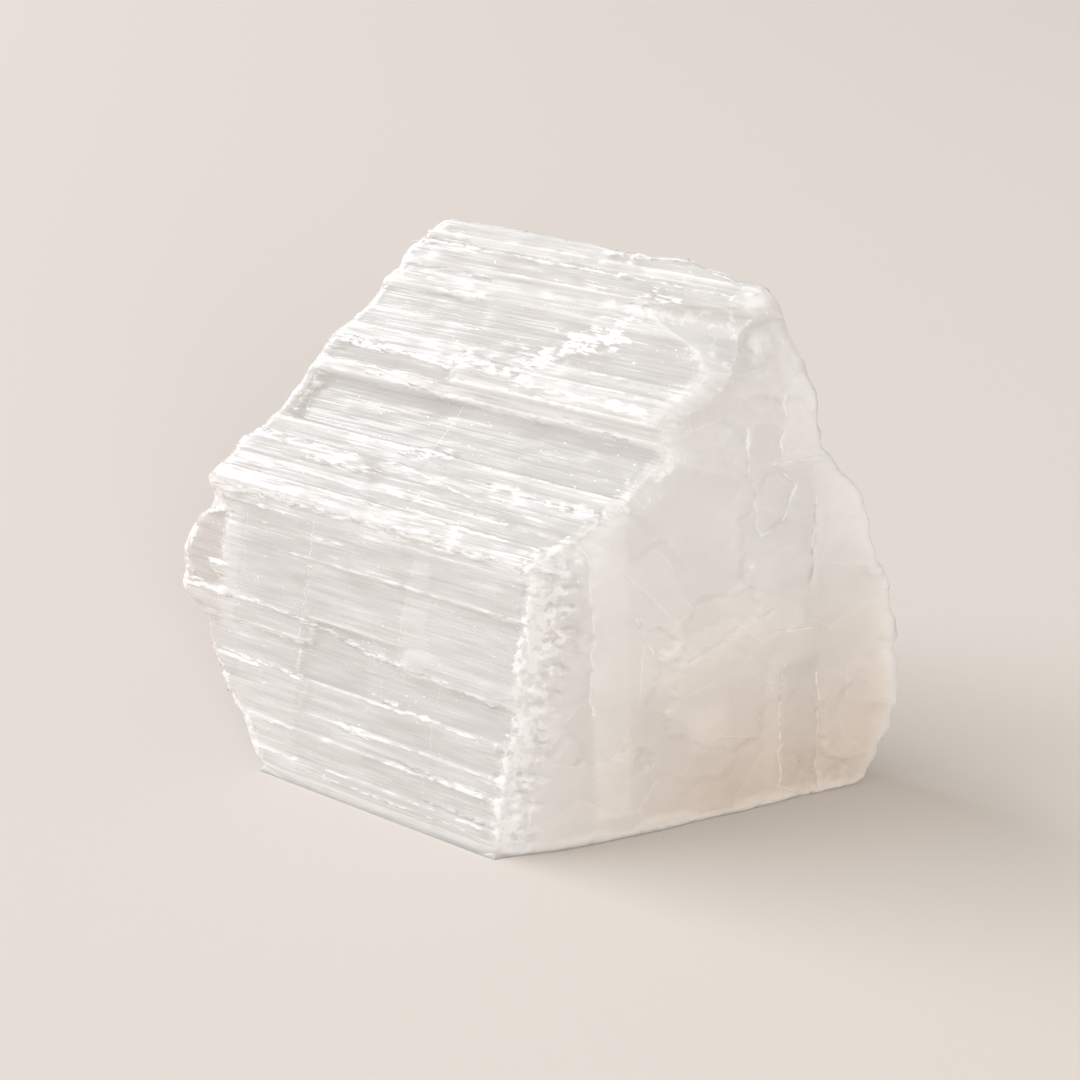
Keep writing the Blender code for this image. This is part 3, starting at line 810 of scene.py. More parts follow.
def end_net(outline, spacing, lines, rng):
    """Points over one end, as (y, z), with its triangles and where each point came from."""
    low, high = outline.min(0), outline.max(0)
    points = []
    for number, z in enumerate(np.arange(low[1], high[1], spacing * NET_ROW)):
        y = np.arange(low[0] + (number % 2) * spacing / 2, high[0], spacing)
        points.append(np.stack((y, np.full(len(y), z)), 1))
    points = np.concatenate(points)
    points += rng.uniform(-NET_JITTER, NET_JITTER, points.shape) * spacing
    keep = inside_outline(outline, points)
    for axis in ((1, 0), (-1, 0), (0, 1), (0, -1)):
        keep &= inside_outline(outline, points + np.array(axis) * NET_MARGIN * spacing)
    places, line_edges = crack_net(lines, outline)
    if lines:
        keep &= crack_gaps(lines, points) > CRACK_HALF + NET_MARGIN * spacing / 2
    count = len(outline)
    coordinates = [Vector(corner) for corner in outline] + places
    coordinates += [Vector(place) for place in points[keep]]
    edges = [(index, (index + 1) % count) for index in range(count)]
    edges += [(a + count, b + count) for a, b in line_edges]
    filled = delaunay_2d_cdt(coordinates, edges, [], 0, SAME_POINT)
    flat, faces, origins = np.array(filled[0]), filled[2], filled[3]
    within = inside_outline(outline, flat[np.array(faces)].mean(1))
    faces = [face for face, ok in zip(faces, within) if ok]
    rims = [next((index for index in origin if index < count), None) for origin in origins]
    return flat, faces, rims


def chamfer_values(flat):
    """How far the (y, z) points of the near end lie on its rough chamfer, from 0 to 1."""
    y, z = flat[:, 0], flat[:, 1]
    return np.clip((plane_x(NEAR_STRIP, y, z) - plane_x(NEAR_CHAMFER, y, z)) / CHAMFER_FADE, 0.0, 1.0)


def side_values(arcs, x, depth, rims, grain):
    """What the sides' nodes and finishes read at each vertex."""
    place = np.broadcast_to(arcs[:, None], x.shape)
    silk, ply = band_values(arcs, x)
    silk += patch_tone(PATCHES, place, x, grain)
    white, rise, lumps = mark_values(arcs, x, grain)
    edge, under = ledge_values(depth, arcs, x, grain)
    white = np.maximum(white, edge)
    # painted light: places under a ledge, which lie in its shade, are made silkier and so lighter
    silk += UNDER_PAINTED_LIGHT * under
    rim_gap = np.minimum(rims[:, :1] - x, x - rims[:, 1:])
    (fine, fine_across, fine_along), (broad, broad_across, broad_along) = RIM_CRUMBS
    crumbled = fine * grain(place / fine_across + CRUMB_SHIFTS[0], x / fine_along)
    crumbled += broad * grain(place / broad_across, x / broad_along + CRUMB_SHIFTS[1])
    crumbled *= np.interp(place, *RIM_SHARES)
    silk += (RIM_SILK - silk) * np.clip(1.0 - (rims[:, :1] - x) / RIM_BEVEL, 0.0, 1.0)
    white = np.maximum(white, np.clip(crumbled * (1.0 - rim_gap / RIM_CRUMBLE), 0.0, MARK_WHITE))
    warm = SIDE_WARM + (FAR_WARM - SIDE_WARM) * np.clip(FAR_WARM_X - x, 0.0, 1.0)
    # painted bounce light: warmer towards the foot
    foot = FOOT_BOUNCE_WARMTH * np.clip(FOOT_BOUNCE_FULL - place / FOOT_BOUNCE_ARC, 0.0, 1.0)
    return {
        "fibre": np.stack((x, place, np.zeros(x.shape)), 2).reshape(-1, 3),
        "on_end": np.zeros(x.size),
        "silk": silk.ravel(),
        "ply": ply.ravel(),
        "white": white.ravel(),
        "warm": np.maximum(warm, foot).ravel(),
        "rise": rise.ravel(),
        "rough": np.clip(np.maximum(1.0 - rim_gap / RIM_CRUMBLE, lumps), 0.0, 1.0).ravel() * RIM_ROUGH,
    }


def end_tones(flat, grain):
    """Tone and warmth of the near end at (y, z) points, the warmth being painted warm light from the floor
    over a base warmth.
    """
    v = flat[:, 1] / END_LIFT_Z
    u = (flat[:, 0] - END_FOOT_Y - END_LIFT_Y * v) / END_ALONG_Y
    warm = np.clip(BOUNCE_WARM_RISE[0] - v / BOUNCE_WARM_RISE[1], 0.0, 1.0)
    warm *= np.clip(BOUNCE_WARM_RUN[0] + u / BOUNCE_WARM_RUN[1], 0.0, 1.0)
    return END_BASE + patch_tone(END_PATCHES, u, v, grain), END_WARM + (1.0 - END_WARM) * warm


def even_gouge(vertices, net):
    """Even out the gouge's floor, in place: each of its points goes to the mean of those beside it."""
    beside = {}
    for face in net:
        for corner in face:
            if by_gouge(*vertices[corner][1:]):
                beside.setdefault(corner, set()).update(face)
    for _turn in range(GOUGE_TURNS):
        means = [np.mean([vertices[other][0] for other in others]) for others in beside.values()]
        for corner, x in zip(beside, means):
            vertices[corner] = (x, *vertices[corner][1:])


def rim_slips(solid, edge, middle, sign):
    """How far each row's end stands off the solid's end face."""
    slips = []
    for place in edge:
        inner = place[1:] + RIM_SLIP * (middle - place[1:])
        found = solid.end(*inner, sign)
        slip = 0.0 if found is None else place[0] - found
        slips.append(min(max(slip, -SLIP_MOST), SLIP_MOST))
    return np.array(slips)


def end_finish(flat, grain, sign):
    """Roughness, tone, warmth and chips at the (y, z) points of one end; the near end's chamfer chips are
    partly painted glints.
    """
    if sign > 0:
        chamfer = chamfer_values(flat)
        # painted glints: the chamfer's white chips stand in partly for glints of light
        return (chamfer, *end_tones(flat, grain), CHAMFER_CHIPS_AND_GLINTS * chamfer)
    return tuple(np.full(len(flat), value) for value in (FAR_ROUGH, END_BASE, END_WARM, FAR_WHITE))


class Skin:
    """The fine mesh in the making: its vertices, its faces and what each vertex carries."""

    def __init__(self, solid, seed):
        self.solid, self.grain, self.rng = solid, Grain(seed), np.random.default_rng(seed)
        places, depth, self.arcs = side_rows(solid)
        soften_rows(places, self.arcs)
        ease_crest(places, self.arcs)
        self.rims = places[:, [-1, 0], 0]
        values = side_values(self.arcs, places[:, :, 0].copy(), depth, self.rims, self.grain)
        self.values = {name: list(data) for name, data in values.items()}
        self.radius = rim_radius(self.arcs, self.grain)
        self.edges = places[:, [-1, 0]].copy()
        round_rims(places, self.rims, self.arcs, self.radius)
        self.places = places
        self.vertices = list(places.reshape(-1, 3))
        self.faces = []
        rows, columns = places.shape[:2]
        for i in range(rows):
            low, high = i * columns, (i + 1) % rows * columns
            self.faces.extend((low + j, low + j + 1, high + j + 1, high + j) for j in range(columns - 1))
        self.side_count = len(self.faces)

    def add_end(self, end, sign, spacing):
        """Close one end with its net of triangles, laid over the solid's end face."""
        rows, columns = self.places.shape[:2]
        column = columns - 1 if sign > 0 else 0
        outline = self.places[:, column, 1:]
        lines = crack_lines(self.grain) if sign > 0 else []
        flat, net, net_rims = end_net(outline, spacing, lines, self.rng)
        nearest = KDTree(rows)
        for i, corner in enumerate(outline):
            nearest.insert((*corner, 0.0), i)
        nearest.balance()
        gaps = round_gaps(self.arcs)
        slips = blurred(rim_slips(self.solid, self.edges[:, end], outline.mean(0), sign), gaps, SLIP_BLUR)
        side_white = np.array(self.values["white"][:rows * columns]).reshape(rows, columns)
        rim_white = RIM_CARRY * blurred(side_white[:, column], gaps, SLIP_BLUR)
        cracked = np.clip(1.0 - crack_gaps(lines, flat) / CRACK_HALF, 0.0, 1.0)
        rough, tones, warmth, chips_and_glints = end_finish(flat, self.grain, sign)
        index = []
        for k, (y, z) in enumerate(flat):
            if net_rims[k] is not None:
                index.append(net_rims[k] * columns + column)
                self.values["on_end"][index[-1]] = 0.5
                continue
            _corner, i, gap = nearest.find((y, z, 0.0))
            arc, rim, bend = self.arcs[i], self.rims[i, end], self.radius[i, end]
            face_x = self.solid.end(y, z, sign)
            if face_x is None:
                face_x = rim
            face_x += slips[i] * max(0.0, 1.0 - gap / RIM_FOLLOW)
            steep = sign > 0 and GOUGE_ARCS[0] < arc < GOUGE_ARCS[1]
            away = FACE_AWAY[0] + (GOUGE_AWAY if steep else FACE_AWAY[1]) * gap
            face_x = min(max(face_x, rim - away), rim + away)
            drop = fillet(ROUND_START * bend + gap, bend) + CRACK_DEPTH * cracked[k]
            near_rim = max(0.0, 1.0 - gap / RIM_EDGE)
            rim_chips = rim_white[i] * max(0.0, 1.0 - gap / RIM_CHIPS)
            index.append(len(self.vertices))
            self.vertices.append((face_x - sign * drop, y, z))
            found = {
                "fibre": (face_x, arc, gap),
                "on_end": 1.0,
                "silk": tones[k] + RIM_MILK * near_rim,
                "ply": 0.0,
                "white": max(cracked[k] * CRACK_WHITE, chips_and_glints[k], rim_chips),
                # the warmth holds the painted warm bounce light, made weaker at the rim
                "warm": warmth[k] * (1.0 - RIM_COOL * near_rim),
                "rise": 0.0,
                "rough": max(rough[k], RIM_ROUGH * near_rim),
            }
            for name, value in found.items():
                self.values[name].append(value)
        turn = 1 if sign > 0 else -1
        net = [tuple(index[k] for k in face)[::turn] for face in net]
        self.faces.extend(net)
        if sign > 0:
            even_gouge(self.vertices, [face for face in net if min(face) >= rows * columns])

    def mesh(self):
        """The mesh itself, in metres in the part's frame, with its attributes."""
        mesh = bpy.data.meshes.new("selenite_crystal")
        placed = np.array(self.vertices) * MM + np.array(FRAME_SHIFT)
        mesh.from_pydata(placed.tolist(), [], self.faces)
        for name, data in self.values.items():
            kind, key = ("FLOAT_VECTOR", "vector") if name == "fibre" else ("FLOAT", "value")
            attribute = mesh.attributes.new(name, kind, "POINT")
            attribute.data.foreach_set(key, np.array(data, np.float32).ravel())
        ends = np.zeros(len(self.faces), np.float32)
        ends[self.side_count:] = 1.0
        mesh.attributes.new("end_face", "FLOAT", "FACE").data.foreach_set("value", ends)
        smooth = np.ones(len(self.faces), bool)
        rows, columns = self.places.shape[:2]
        side_smooth = smooth[:self.side_count].reshape(rows, columns - 1)
        side_smooth[np.flatnonzero(self.arcs >= END_ARC)[0] - 1:] = False
        mesh.polygons.foreach_set("use_smooth", smooth)
        mesh.update()
        return mesh


def crystal_mesh(seed):
    """The whole fine mesh, closed, with the attributes that its nodes and finishes read."""
    skin = Skin(Solid(), seed)
    skin.add_end(0, 1.0, NEAR_NET)
    skin.add_end(1, -1.0, FAR_NET)
    return skin.mesh()


# ---------------------------------------------------------------- building node trees


class Graph:
    """Adds nodes to a tree, linking or setting their inputs as it goes."""

    def __init__(self, tree):
        self.tree = tree

    def add(self, kind, inputs=None, output=0, **settings):
        """Make a node, feed its inputs by name or index, and return one of its outputs."""
        node = self.tree.nodes.new(kind)
        for name, value in settings.items():
            setattr(node, name, value)
        for key, value in (inputs or {}).items():
            self.feed(node.inputs[key], value)
        return node.outputs[output] if len(node.outputs) else node

    def feed(self, socket, value):
        """Link a socket to an output, or set its value."""
        if isinstance(value, bpy.types.NodeSocket):
            self.tree.links.new(value, socket)
        else:
            socket.default_value = value

    def math(self, operation, *values, clamp=False):
        """The outcome of a sum on numbers."""
        return self.add("ShaderNodeMath", dict(enumerate(values)), operation=operation, use_clamp=clamp)

    def vector(self, operation, *values, output=0):
        """The outcome of a sum on vectors."""
        return self.add("ShaderNodeVectorMath", dict(enumerate(values)), output, operation=operation)

    def scale(self, vector, factor):
        """A vector times a number."""
        scaled = self.vector("SCALE", vector)
        self.feed(scaled.node.inputs["Scale"], factor)
        return scaled

    def centred(self, value):
        """A value from 0 to 1 moved to lie round 0."""
        return self.math("SUBTRACT", value, 0.5)

    def height(self):
        """Height over the floor in mm."""
        return self.math("MULTIPLY", self.split(self.add("GeometryNodeInputPosition"))[2], TEXTURE_SCALE)

    def named(self, name, kind="FLOAT"):
        """What the mesh carries under a name, in a geometry tree."""
        node = self.add("GeometryNodeInputNamedAttribute", {"Name": name}, data_type=kind).node
        return next(output for output in node.outputs if output.enabled and output.name == "Attribute")

    def blend(self, share, first, second, kind="MIX"):
        """A mix of two colours."""
        inputs = {0: share, 6: first, 7: second}
        return self.add("ShaderNodeMix", inputs, 2, data_type="RGBA", blend_type=kind)

    def join(self, x=0.0, y=0.0, z=0.0):
        """A vector from its parts."""
        return self.add("ShaderNodeCombineXYZ", {0: x, 1: y, 2: z})

    def split(self, vector):
        """The parts of a vector."""
        node = self.tree.nodes.new("ShaderNodeSeparateXYZ")
        self.feed(node.inputs[0], vector)
        return node.outputs

    def ramp(self, value, low, high, to_low=0.0, to_high=1.0, soft=True):
        """Map a value from one range to another, held at both ends."""
        kind = "SMOOTHSTEP" if soft else "LINEAR"
        inputs = {0: value, 1: low, 2: high, 3: to_low, 4: to_high}
        return self.add("ShaderNodeMapRange", inputs, interpolation_type=kind)

    def noise(self, vector, scale=1.0, detail=2.0, roughness=0.5, output=0, flat=False):
        """Smooth noise, over a plane if flat."""
        inputs = {"Vector": vector, "Scale": scale, "Detail": detail, "Roughness": roughness}
        return self.add("ShaderNodeTexNoise", inputs, output, noise_dimensions="2D" if flat else "3D")

    def hash(self, x, y, output="Value"):
        """A fixed random value for each pair of whole numbers."""
        return self.add("ShaderNodeTexWhiteNoise", {"Vector": self.join(x, y)}, output, noise_dimensions="2D")

    def group(self, tree, inputs, output=0):
        """Place a node group in this tree, with its inputs by name."""
        kind = "ShaderNodeGroup" if self.tree.type == "SHADER" else "GeometryNodeGroup"
        node = self.tree.nodes.new(kind)
        node.node_tree = tree
        for name, value in inputs.items():
            self.feed(node.inputs[name], value)
        return node.outputs if output is None else node.outputs[output]


def new_tree(name, kind, inputs, outputs):
    """A node tree with named sockets: its graph, its input sockets and its output sockets."""
    tree = bpy.data.node_groups.new(name, kind)
    for label, socket, value in inputs:
        item = tree.interface.new_socket(name=label, in_out="INPUT", socket_type=socket)
        if value is not None:
            item.default_value = value
    for label, socket in outputs:
        tree.interface.new_socket(name=label, in_out="OUTPUT", socket_type=socket)
    start = tree.nodes.new("NodeGroupInput")
    end = tree.nodes.new("NodeGroupOutput")
    return Graph(tree), start.outputs, end.inputs


FLOAT = "NodeSocketFloat"
VECTOR = "NodeSocketVector"
COLOUR = "NodeSocketColor"
SHAPE = "NodeSocketGeometry"
WHOLE = "NodeSocketInt"
TEXTURE_SCALE = 1.0 / MM


def fibre_strips_tree():
    """Splits a surface into strips along the fibres, each broken into uneven lengths."""
    graph, given, made = new_tree(
        "Fibre strips",
        "GeometryNodeTree",
        (("Along", FLOAT, 0.0), ("Across", FLOAT, 0.0), ("Width", FLOAT, 1.0), ("Length", FLOAT, 10.0),
         ("Waver", FLOAT, 0.3), ("Seed", FLOAT, 0.0)),
        (("Value", FLOAT),),
    )
    along = graph.math("MULTIPLY", given["Along"], STRIP_SWAY[0])
    across = graph.math("MULTIPLY", given["Across"], STRIP_SWAY[1])
    sway = graph.centred(graph.noise(graph.join(along, across, given["Seed"])))
    across = graph.math("MULTIPLY_ADD", sway, given["Waver"], given["Across"])
    row = graph.math("FLOOR", graph.math("DIVIDE", across, given["Width"]))
    along = graph.math("DIVIDE", given["Along"], given["Length"])
    shift = graph.math("MULTIPLY", graph.hash(row, given["Seed"]), STRIP_SHIFT)
    cell = graph.math("FLOOR", graph.math("ADD", along, shift))
    graph.feed(made["Value"], graph.hash(graph.math("ADD", row, given["Seed"]), cell))
    return graph.tree


def hackle_tree():
    """Small tilted facets, as a hackly break has: a height that changes from facet to facet."""
    graph, given, made = new_tree(
        "Hackly facets",
        "GeometryNodeTree",
        (("Vector", VECTOR, None), ("Size", FLOAT, 1.0), ("Step", FLOAT, 0.5), ("Tilt", FLOAT, 0.5)),
        (("Height", FLOAT),),
    )
    middle = (0.5, 0.5, 0.5)
    scale = graph.math("DIVIDE", 1.0, given["Size"])
    bent = graph.vector("SUBTRACT", graph.noise(given["Vector"], scale, output="Color"), middle)
    bent = graph.scale(bent, graph.math("MULTIPLY", given["Size"], HACKLE_BEND))
    place = graph.vector("ADD", given["Vector"], bent)
    cells = graph.add("ShaderNodeTexVoronoi", {"Vector": place, "Scale": scale}).node
    away = graph.vector("SUBTRACT", place, cells.outputs["Position"])
    lean = graph.vector("SUBTRACT", cells.outputs["Color"], middle)
    slope = graph.vector("DOT_PRODUCT", away, lean, output="Value")
    slope = graph.math("MULTIPLY", slope, given["Tilt"])
    step = graph.centred(graph.split(cells.outputs["Color"])[0])
    step = graph.math("MULTIPLY", graph.math("MULTIPLY", step, given["Step"]), given["Size"])
    graph.feed(made["Height"], graph.math("ADD", step, slope))
    return graph.tree


def relief_tree(materials):
    """Pushes the fine mesh in and out: strips on its sides, facets and hackles on its breaks."""
    graph, given, made = new_tree(
        "Selenite relief",
        "GeometryNodeTree",
        (("Geometry", SHAPE, None), ("Strip Depth", FLOAT, 0.1), ("Fine Strip Depth", FLOAT, 0.05),
         ("Facet Size", FLOAT, 6.0), ("Facet Depth", FLOAT, 0.15), ("Hackle Size", FLOAT, 1.2),
         ("Hackle Depth", FLOAT, 0.3), ("Seed", FLOAT, 0.0)),
        (("Geometry", SHAPE),),
    )
    along, across = graph.split(graph.named("fibre", "FLOAT_VECTOR"))[:2]
    strips = fibre_strips_tree()
    total = 0.0
    for name, width, length, seed in STRIPS:
        inputs = {"Along": along, "Across": across, "Width": width, "Length": length,
                  "Seed": graph.math("ADD", given["Seed"], seed)}
        value = graph.centred(graph.group(strips, inputs, "Value"))
        total = graph.math("MULTIPLY_ADD", value, given[name], total)
    total = graph.math("MULTIPLY", total, graph.named("ply"))
    place = graph.scale(graph.add("GeometryNodeInputPosition"), TEXTURE_SCALE)
    place = graph.vector("ADD", place, graph.join(graph.math("MULTIPLY", given["Seed"], SEED_STEP)))
    hackle = hackle_tree()

    def broken(name, look, share):
        """Height of one kind of facet, by the share of it that a place gets."""
        inputs = {"Vector": place, "Size": given[name + " Size"], "Step": look[0], "Tilt": look[1]}
        height = graph.math("MULTIPLY", graph.group(hackle, inputs), given[name + " Depth"])
        return graph.math("MULTIPLY", height, share)

    facets = broken("Facet", FACET_LOOK, graph.named("on_end"))
    white = graph.math("MULTIPLY", graph.named("white"), WHITE_HACKLES)
    hackles = broken("Hackle", HACKLE_LOOK, graph.math("MAXIMUM", graph.named("rough"), white))
    total = graph.math("ADD", total, graph.math("ADD", facets, hackles))
    total = graph.math("ADD", total, graph.named("rise"))
    free = graph.ramp(graph.height(), *FOOT_FADE)
    total = graph.math("MULTIPLY", graph.math("MULTIPLY", total, free), MM)
    offset = graph.scale(graph.add("GeometryNodeInputNormal"), total)
    shape = graph.add("GeometryNodeSetPosition", {"Geometry": given["Geometry"], "Offset": offset})
    shape = graph.add("GeometryNodeRealizeInstances", {"Geometry": shape})
    shape = graph.add("GeometryNodeSetMaterial", {"Geometry": shape, "Material": materials[0]})
    inputs = {"Geometry": shape, "Selection": graph.named("end_face"), "Material": materials[1]}
    graph.feed(made["Geometry"], graph.add("GeometryNodeSetMaterial", inputs))
    return graph.tree


def splinters_tree(material):
    """Strews small slivers, lying along the fibres, on the crumbled marks of a surface."""
    graph, given, made = new_tree(
        "Selenite splinters",
        "GeometryNodeTree",
        (("Geometry", SHAPE, None), ("Density", FLOAT, 2.0), ("Length", FLOAT, 1.0), ("Width", FLOAT, 0.1),
         ("Seed", WHOLE, 0)),
        (("Geometry", SHAPE),),
    )
    raised = graph.ramp(graph.named("rise"), *SPLINTER_RISES)
    crumbled = graph.math("MULTIPLY", raised, graph.ramp(graph.height(), *SPLINTER_HEIGHTS))
    density = graph.math("MULTIPLY", graph.math("MULTIPLY", crumbled, given["Density"]), TEXTURE_SCALE**2)
    inputs = {"Mesh": given["Geometry"], "Density": density, "Seed": given["Seed"]}
    points = graph.add("GeometryNodeDistributePointsOnFaces", inputs, distribute_method="RANDOM")
    length, width = (graph.math("MULTIPLY", given[name], MM) for name in ("Length", "Width"))
    top, bottom = (graph.math("MULTIPLY", width, share) for share in SPLINTER_ENDS)
    inputs = {"Vertices": SPLINTER_SIDES, "Radius Top": top, "Radius Bottom": bottom, "Depth": length}
    sliver = graph.add("GeometryNodeMeshCone", inputs)
    inputs = {"Geometry": sliver, "Translation": graph.join(graph.math("MULTIPLY", length, -0.5)),
              "Rotation": (0.0, pi / 2, 0.0)}
    sliver = graph.add("GeometryNodeTransform", inputs)

    def scattered(low, high, seed):
        """A random vector for each splinter, between two vectors."""
        inputs = {"Min": low, "Max": high, "Seed": graph.math("ADD", given["Seed"], seed)}
        return graph.add("FunctionNodeRandomValue", inputs, data_type="FLOAT_VECTOR")

    turn = graph.add("FunctionNodeEulerToRotation", {0: scattered(*SPLINTER_TURNS, 1.0)})
    scale = scattered(*SPLINTER_SCALES, 2.0)
    inputs = {"Points": points, "Instance": sliver, "Rotation": turn, "Scale": scale}
    shape = graph.add("GeometryNodeInstanceOnPoints", inputs)
    shape = graph.add("GeometryNodeRealizeInstances", {"Geometry": shape})
    shape = graph.add("GeometryNodeSetMaterial", {"Geometry": shape, "Material": material})
    graph.feed(made["Geometry"], shape)
    return graph.tree


def applied(name, mesh, tree, values):
    """A new object whose mesh is what a node tree makes of a mesh, with no modifier left."""
    source = bpy.data.objects.new(name + "_source", mesh)
    bpy.context.scene.collection.objects.link(source)
    modifier = source.modifiers.new(tree.name, "NODES")
    modifier.node_group = tree
    for item in tree.interface.items_tree:
        if item.item_type == "SOCKET" and item.in_out == "INPUT" and item.name in values:
            modifier[item.identifier] = values[item.name]
    depsgraph = bpy.context.evaluated_depsgraph_get()
    made = bpy.data.meshes.new_from_object(source.evaluated_get(depsgraph), depsgraph=depsgraph)
    source.modifiers.remove(modifier)
    bpy.data.objects.remove(source)
    made.name = name
    piece = bpy.data.objects.new(name, made)
    bpy.context.scene.collection.objects.link(piece)
    return piece


# ---------------------------------------------------------------- finishes

CLEAR = (0.590, 0.581, 0.568, 1.0)
MILK = (0.878, 0.880, 0.873, 1.0)
# the warm colour tints the stone, and also paints the warm light bounced from the floor at the foot
WARM = (0.890, 0.780, 0.690, 1.0)
STONE = {
    "IOR": 1.52,
    "Transmission Weight": 0.10,
    "Subsurface Weight": 0.50,
    "Subsurface Radius": (1.0, 1.0, 1.0),
    "Subsurface Scale": 0.0025,
}
MILK_RANGE = (0.1, 0.9)
ROUGHNESS = (0.22, 0.44)    # of clear and of milky stone
SPLINTER_ROUGHNESS = 0.35
FLOOR_ROUGHNESS = 0.9

# Streaks along the fibres: length and width in mm, noise detail, and how far the seed moves on.
Streak = namedtuple("Streak", "length width detail shift")
FINE = Streak(8.0, 0.30, 2.0, 0.0)
BROAD = Streak(7.0, 1.10, 1.0, 40.0)
RAGGED = Streak(1.3, 0.28, 2.0, 80.0)
DASHES = Streak(5.0, 0.22, 1.0, 120.0)

# The sides' finish: shares of the streaks by silk and in all, densities of dashes by ply, by broad
# streaks and in all, and how the cracks break up.  Noises are (scale, detail, roughness).
FINE_TONE = (0.70, 0.35)
BROAD_TONE = 0.50
DASH_PLY = 0.42
DASH_BROAD = (1.3, -0.10)
DASH_TONE = 0.85
WHITE_SWAY = 0.8
CRACK_SWAY = 0.7
CRACK_BREAKS = (0.40, 0.56, 0.20, 0.9)
RIM_LUMPS = (0.95, 2.0, 0.6)
LUMPY_FROM = (0.01, 0.07)
SPECKS = (2.9, 1.0)
SPECK_STRETCH = 0.55
SPECK_DENSITY = (0.5, 0.10)
SIDE_BUMP = (0.50, 0.00010)

# The ends' finish: clouds, mottle, and panels bent by both, with lines that break up between them.
CLOUDS = (0.16, 2.0)
MOTTLE = (1.0, 3.0, 0.6)
PANEL_SCALE = 0.19
PANEL_BEND = (1.8, 0.25)
PANEL_LINE = (0.002, 0.010, 0.38, 0.0)
LINE_PLACES = (0.35, 1.0)
LINE_BREAKS = (0.50, 0.64)
CLOUD_TONE = 0.40
PANEL_TONE = 0.15
MOTTLE_TONE = 0.10
END_SPECKS = (2.6, 1.0)
END_SPECK_DENSITY = 0.06
END_SPECK_TONE = 0.9
PANEL_RISE = 0.2
END_BUMP = (0.22, 0.00025)

# Ragged chips: how far the noise sways the density, and how soft their edge is.
DASH_CHIPS = {"Raggedness": 1.8, "Softness": 0.30}
CRUMB_CHIPS = {"Raggedness": 1.5, "Softness": 0.20}
FLECK_CHIPS = {"Raggedness": 1.45, "Softness": 0.08}
END_CRUMBS_AND_GLINTS = {"Raggedness": 2.2, "Softness": 0.12}
END_FLECKS = {"Raggedness": 1.6, "Softness": 0.08}


def attribute_value(graph, name):
    """A number that the mesh carries."""
    return graph.add("ShaderNodeAttribute", output="Fac", attribute_name=name)


def chips(graph, trees, density, noise, look):
    """A mask of ragged chips."""
    return graph.group(trees["chips"], {"Density": density, "Noise": noise, **look})


def body_tree():
    """Colour and roughness of the stone, from how milky it is and how warm the place is, a warmth that is
    partly the stone's tint and partly painted warm bounce light.
    """
    graph, given, made = new_tree(
        "Selenite body",
        "ShaderNodeTree",
        (("Milk", FLOAT, 0.5), ("Warmth", FLOAT, 0.0), ("Clear Colour", COLOUR, CLEAR),
         ("Milk Colour", COLOUR, MILK), ("Warm Tint", COLOUR, WARM)),
        (("Colour", COLOUR), ("Roughness", FLOAT)),
    )
    colour = graph.blend(given["Milk"], given["Clear Colour"], given["Milk Colour"])
    graph.feed(made["Colour"], graph.blend(given["Warmth"], colour, given["Warm Tint"], "MULTIPLY"))
    graph.feed(made["Roughness"], graph.ramp(given["Milk"], *MILK_RANGE, *ROUGHNESS))
    return graph.tree


def chips_tree():
    """Crisp ragged chips: where a density and a noise together pass a threshold."""
    graph, given, made = new_tree(
        "Ragged chips",
        "ShaderNodeTree",
        (("Density", FLOAT, 0.0), ("Noise", FLOAT, 0.5), ("Raggedness", FLOAT, 2.0),
         ("Softness", FLOAT, 0.12)),
        (("Mask", FLOAT),),
    )
    noise = graph.math("MULTIPLY", graph.centred(given["Noise"]), given["Raggedness"])
    level = graph.math("SUBTRACT", graph.math("ADD", given["Density"], noise), 0.5)
    graph.feed(made["Mask"], graph.ramp(level, 0.0, given["Softness"], soft=False))
    return graph.tree


def hairline_tree():
    """A thin crack line that crosses the fibres between two places."""
    graph, given, made = new_tree(
        "Hairline",
        "ShaderNodeTree",
        (("Along", FLOAT, 0.0), ("Across", FLOAT, 0.0), ("Low", FLOAT, 0.0), ("Low Along", FLOAT, 0.0),
         ("High", FLOAT, 1.0), ("High Along", FLOAT, 0.0), ("Line", FLOAT, 0.1)),
        (("Mask", FLOAT),),
    )
    share = graph.ramp(given["Across"], given["Low"], given["High"], given["Low Along"], given["High Along"],
                       soft=False)
    gap = graph.math("ABSOLUTE", graph.math("SUBTRACT", given["Along"], share))
    line = graph.ramp(gap, 0.0, given["Line"], 1.0, 0.0, soft=False)
    above = graph.math("GREATER_THAN", given["Across"], given["Low"])
    below = graph.math("LESS_THAN", given["Across"], given["High"])
    graph.feed(made["Mask"], graph.math("MULTIPLY", line, graph.math("MULTIPLY", above, below)))
    return graph.tree


def new_material(name):
    """A material with its principled shader: graph, shader node."""
    material = bpy.data.materials.new(name)
    material.use_nodes = True
    graph = Graph(material.node_tree)
    shader = next(node for node in graph.tree.nodes if node.type == "BSDF_PRINCIPLED")
    return material, graph, shader


def set_stone(shader):
    """The stone's own constant values: see-through, soft and glassy."""
    for name, value in STONE.items():
        shader.inputs[name].default_value = value


def stone_colour(graph, trees, settings, milk, warmth):
    """Colour and roughness outputs for a milkiness and a warmth."""
    inputs = {"Milk": milk, "Warmth": warmth, "Clear Colour": settings.clear_colour,
              "Milk Colour": settings.milk_colour, "Warm Tint": settings.warm_tint}
    return graph.group(trees["body"], inputs, None)[:2]


def finish(graph, shader, look, height, strength, distance):
    """Feed the stone's shader its colour and roughness, and a bump from a height."""
    for name, value in zip(("Base Color", "Roughness"), look):
        graph.feed(shader.inputs[name], value)
    inputs = {"Strength": strength, "Distance": distance, "Height": height}
    graph.feed(shader.inputs["Normal"], graph.add("ShaderNodeBump", inputs))
    set_stone(shader)


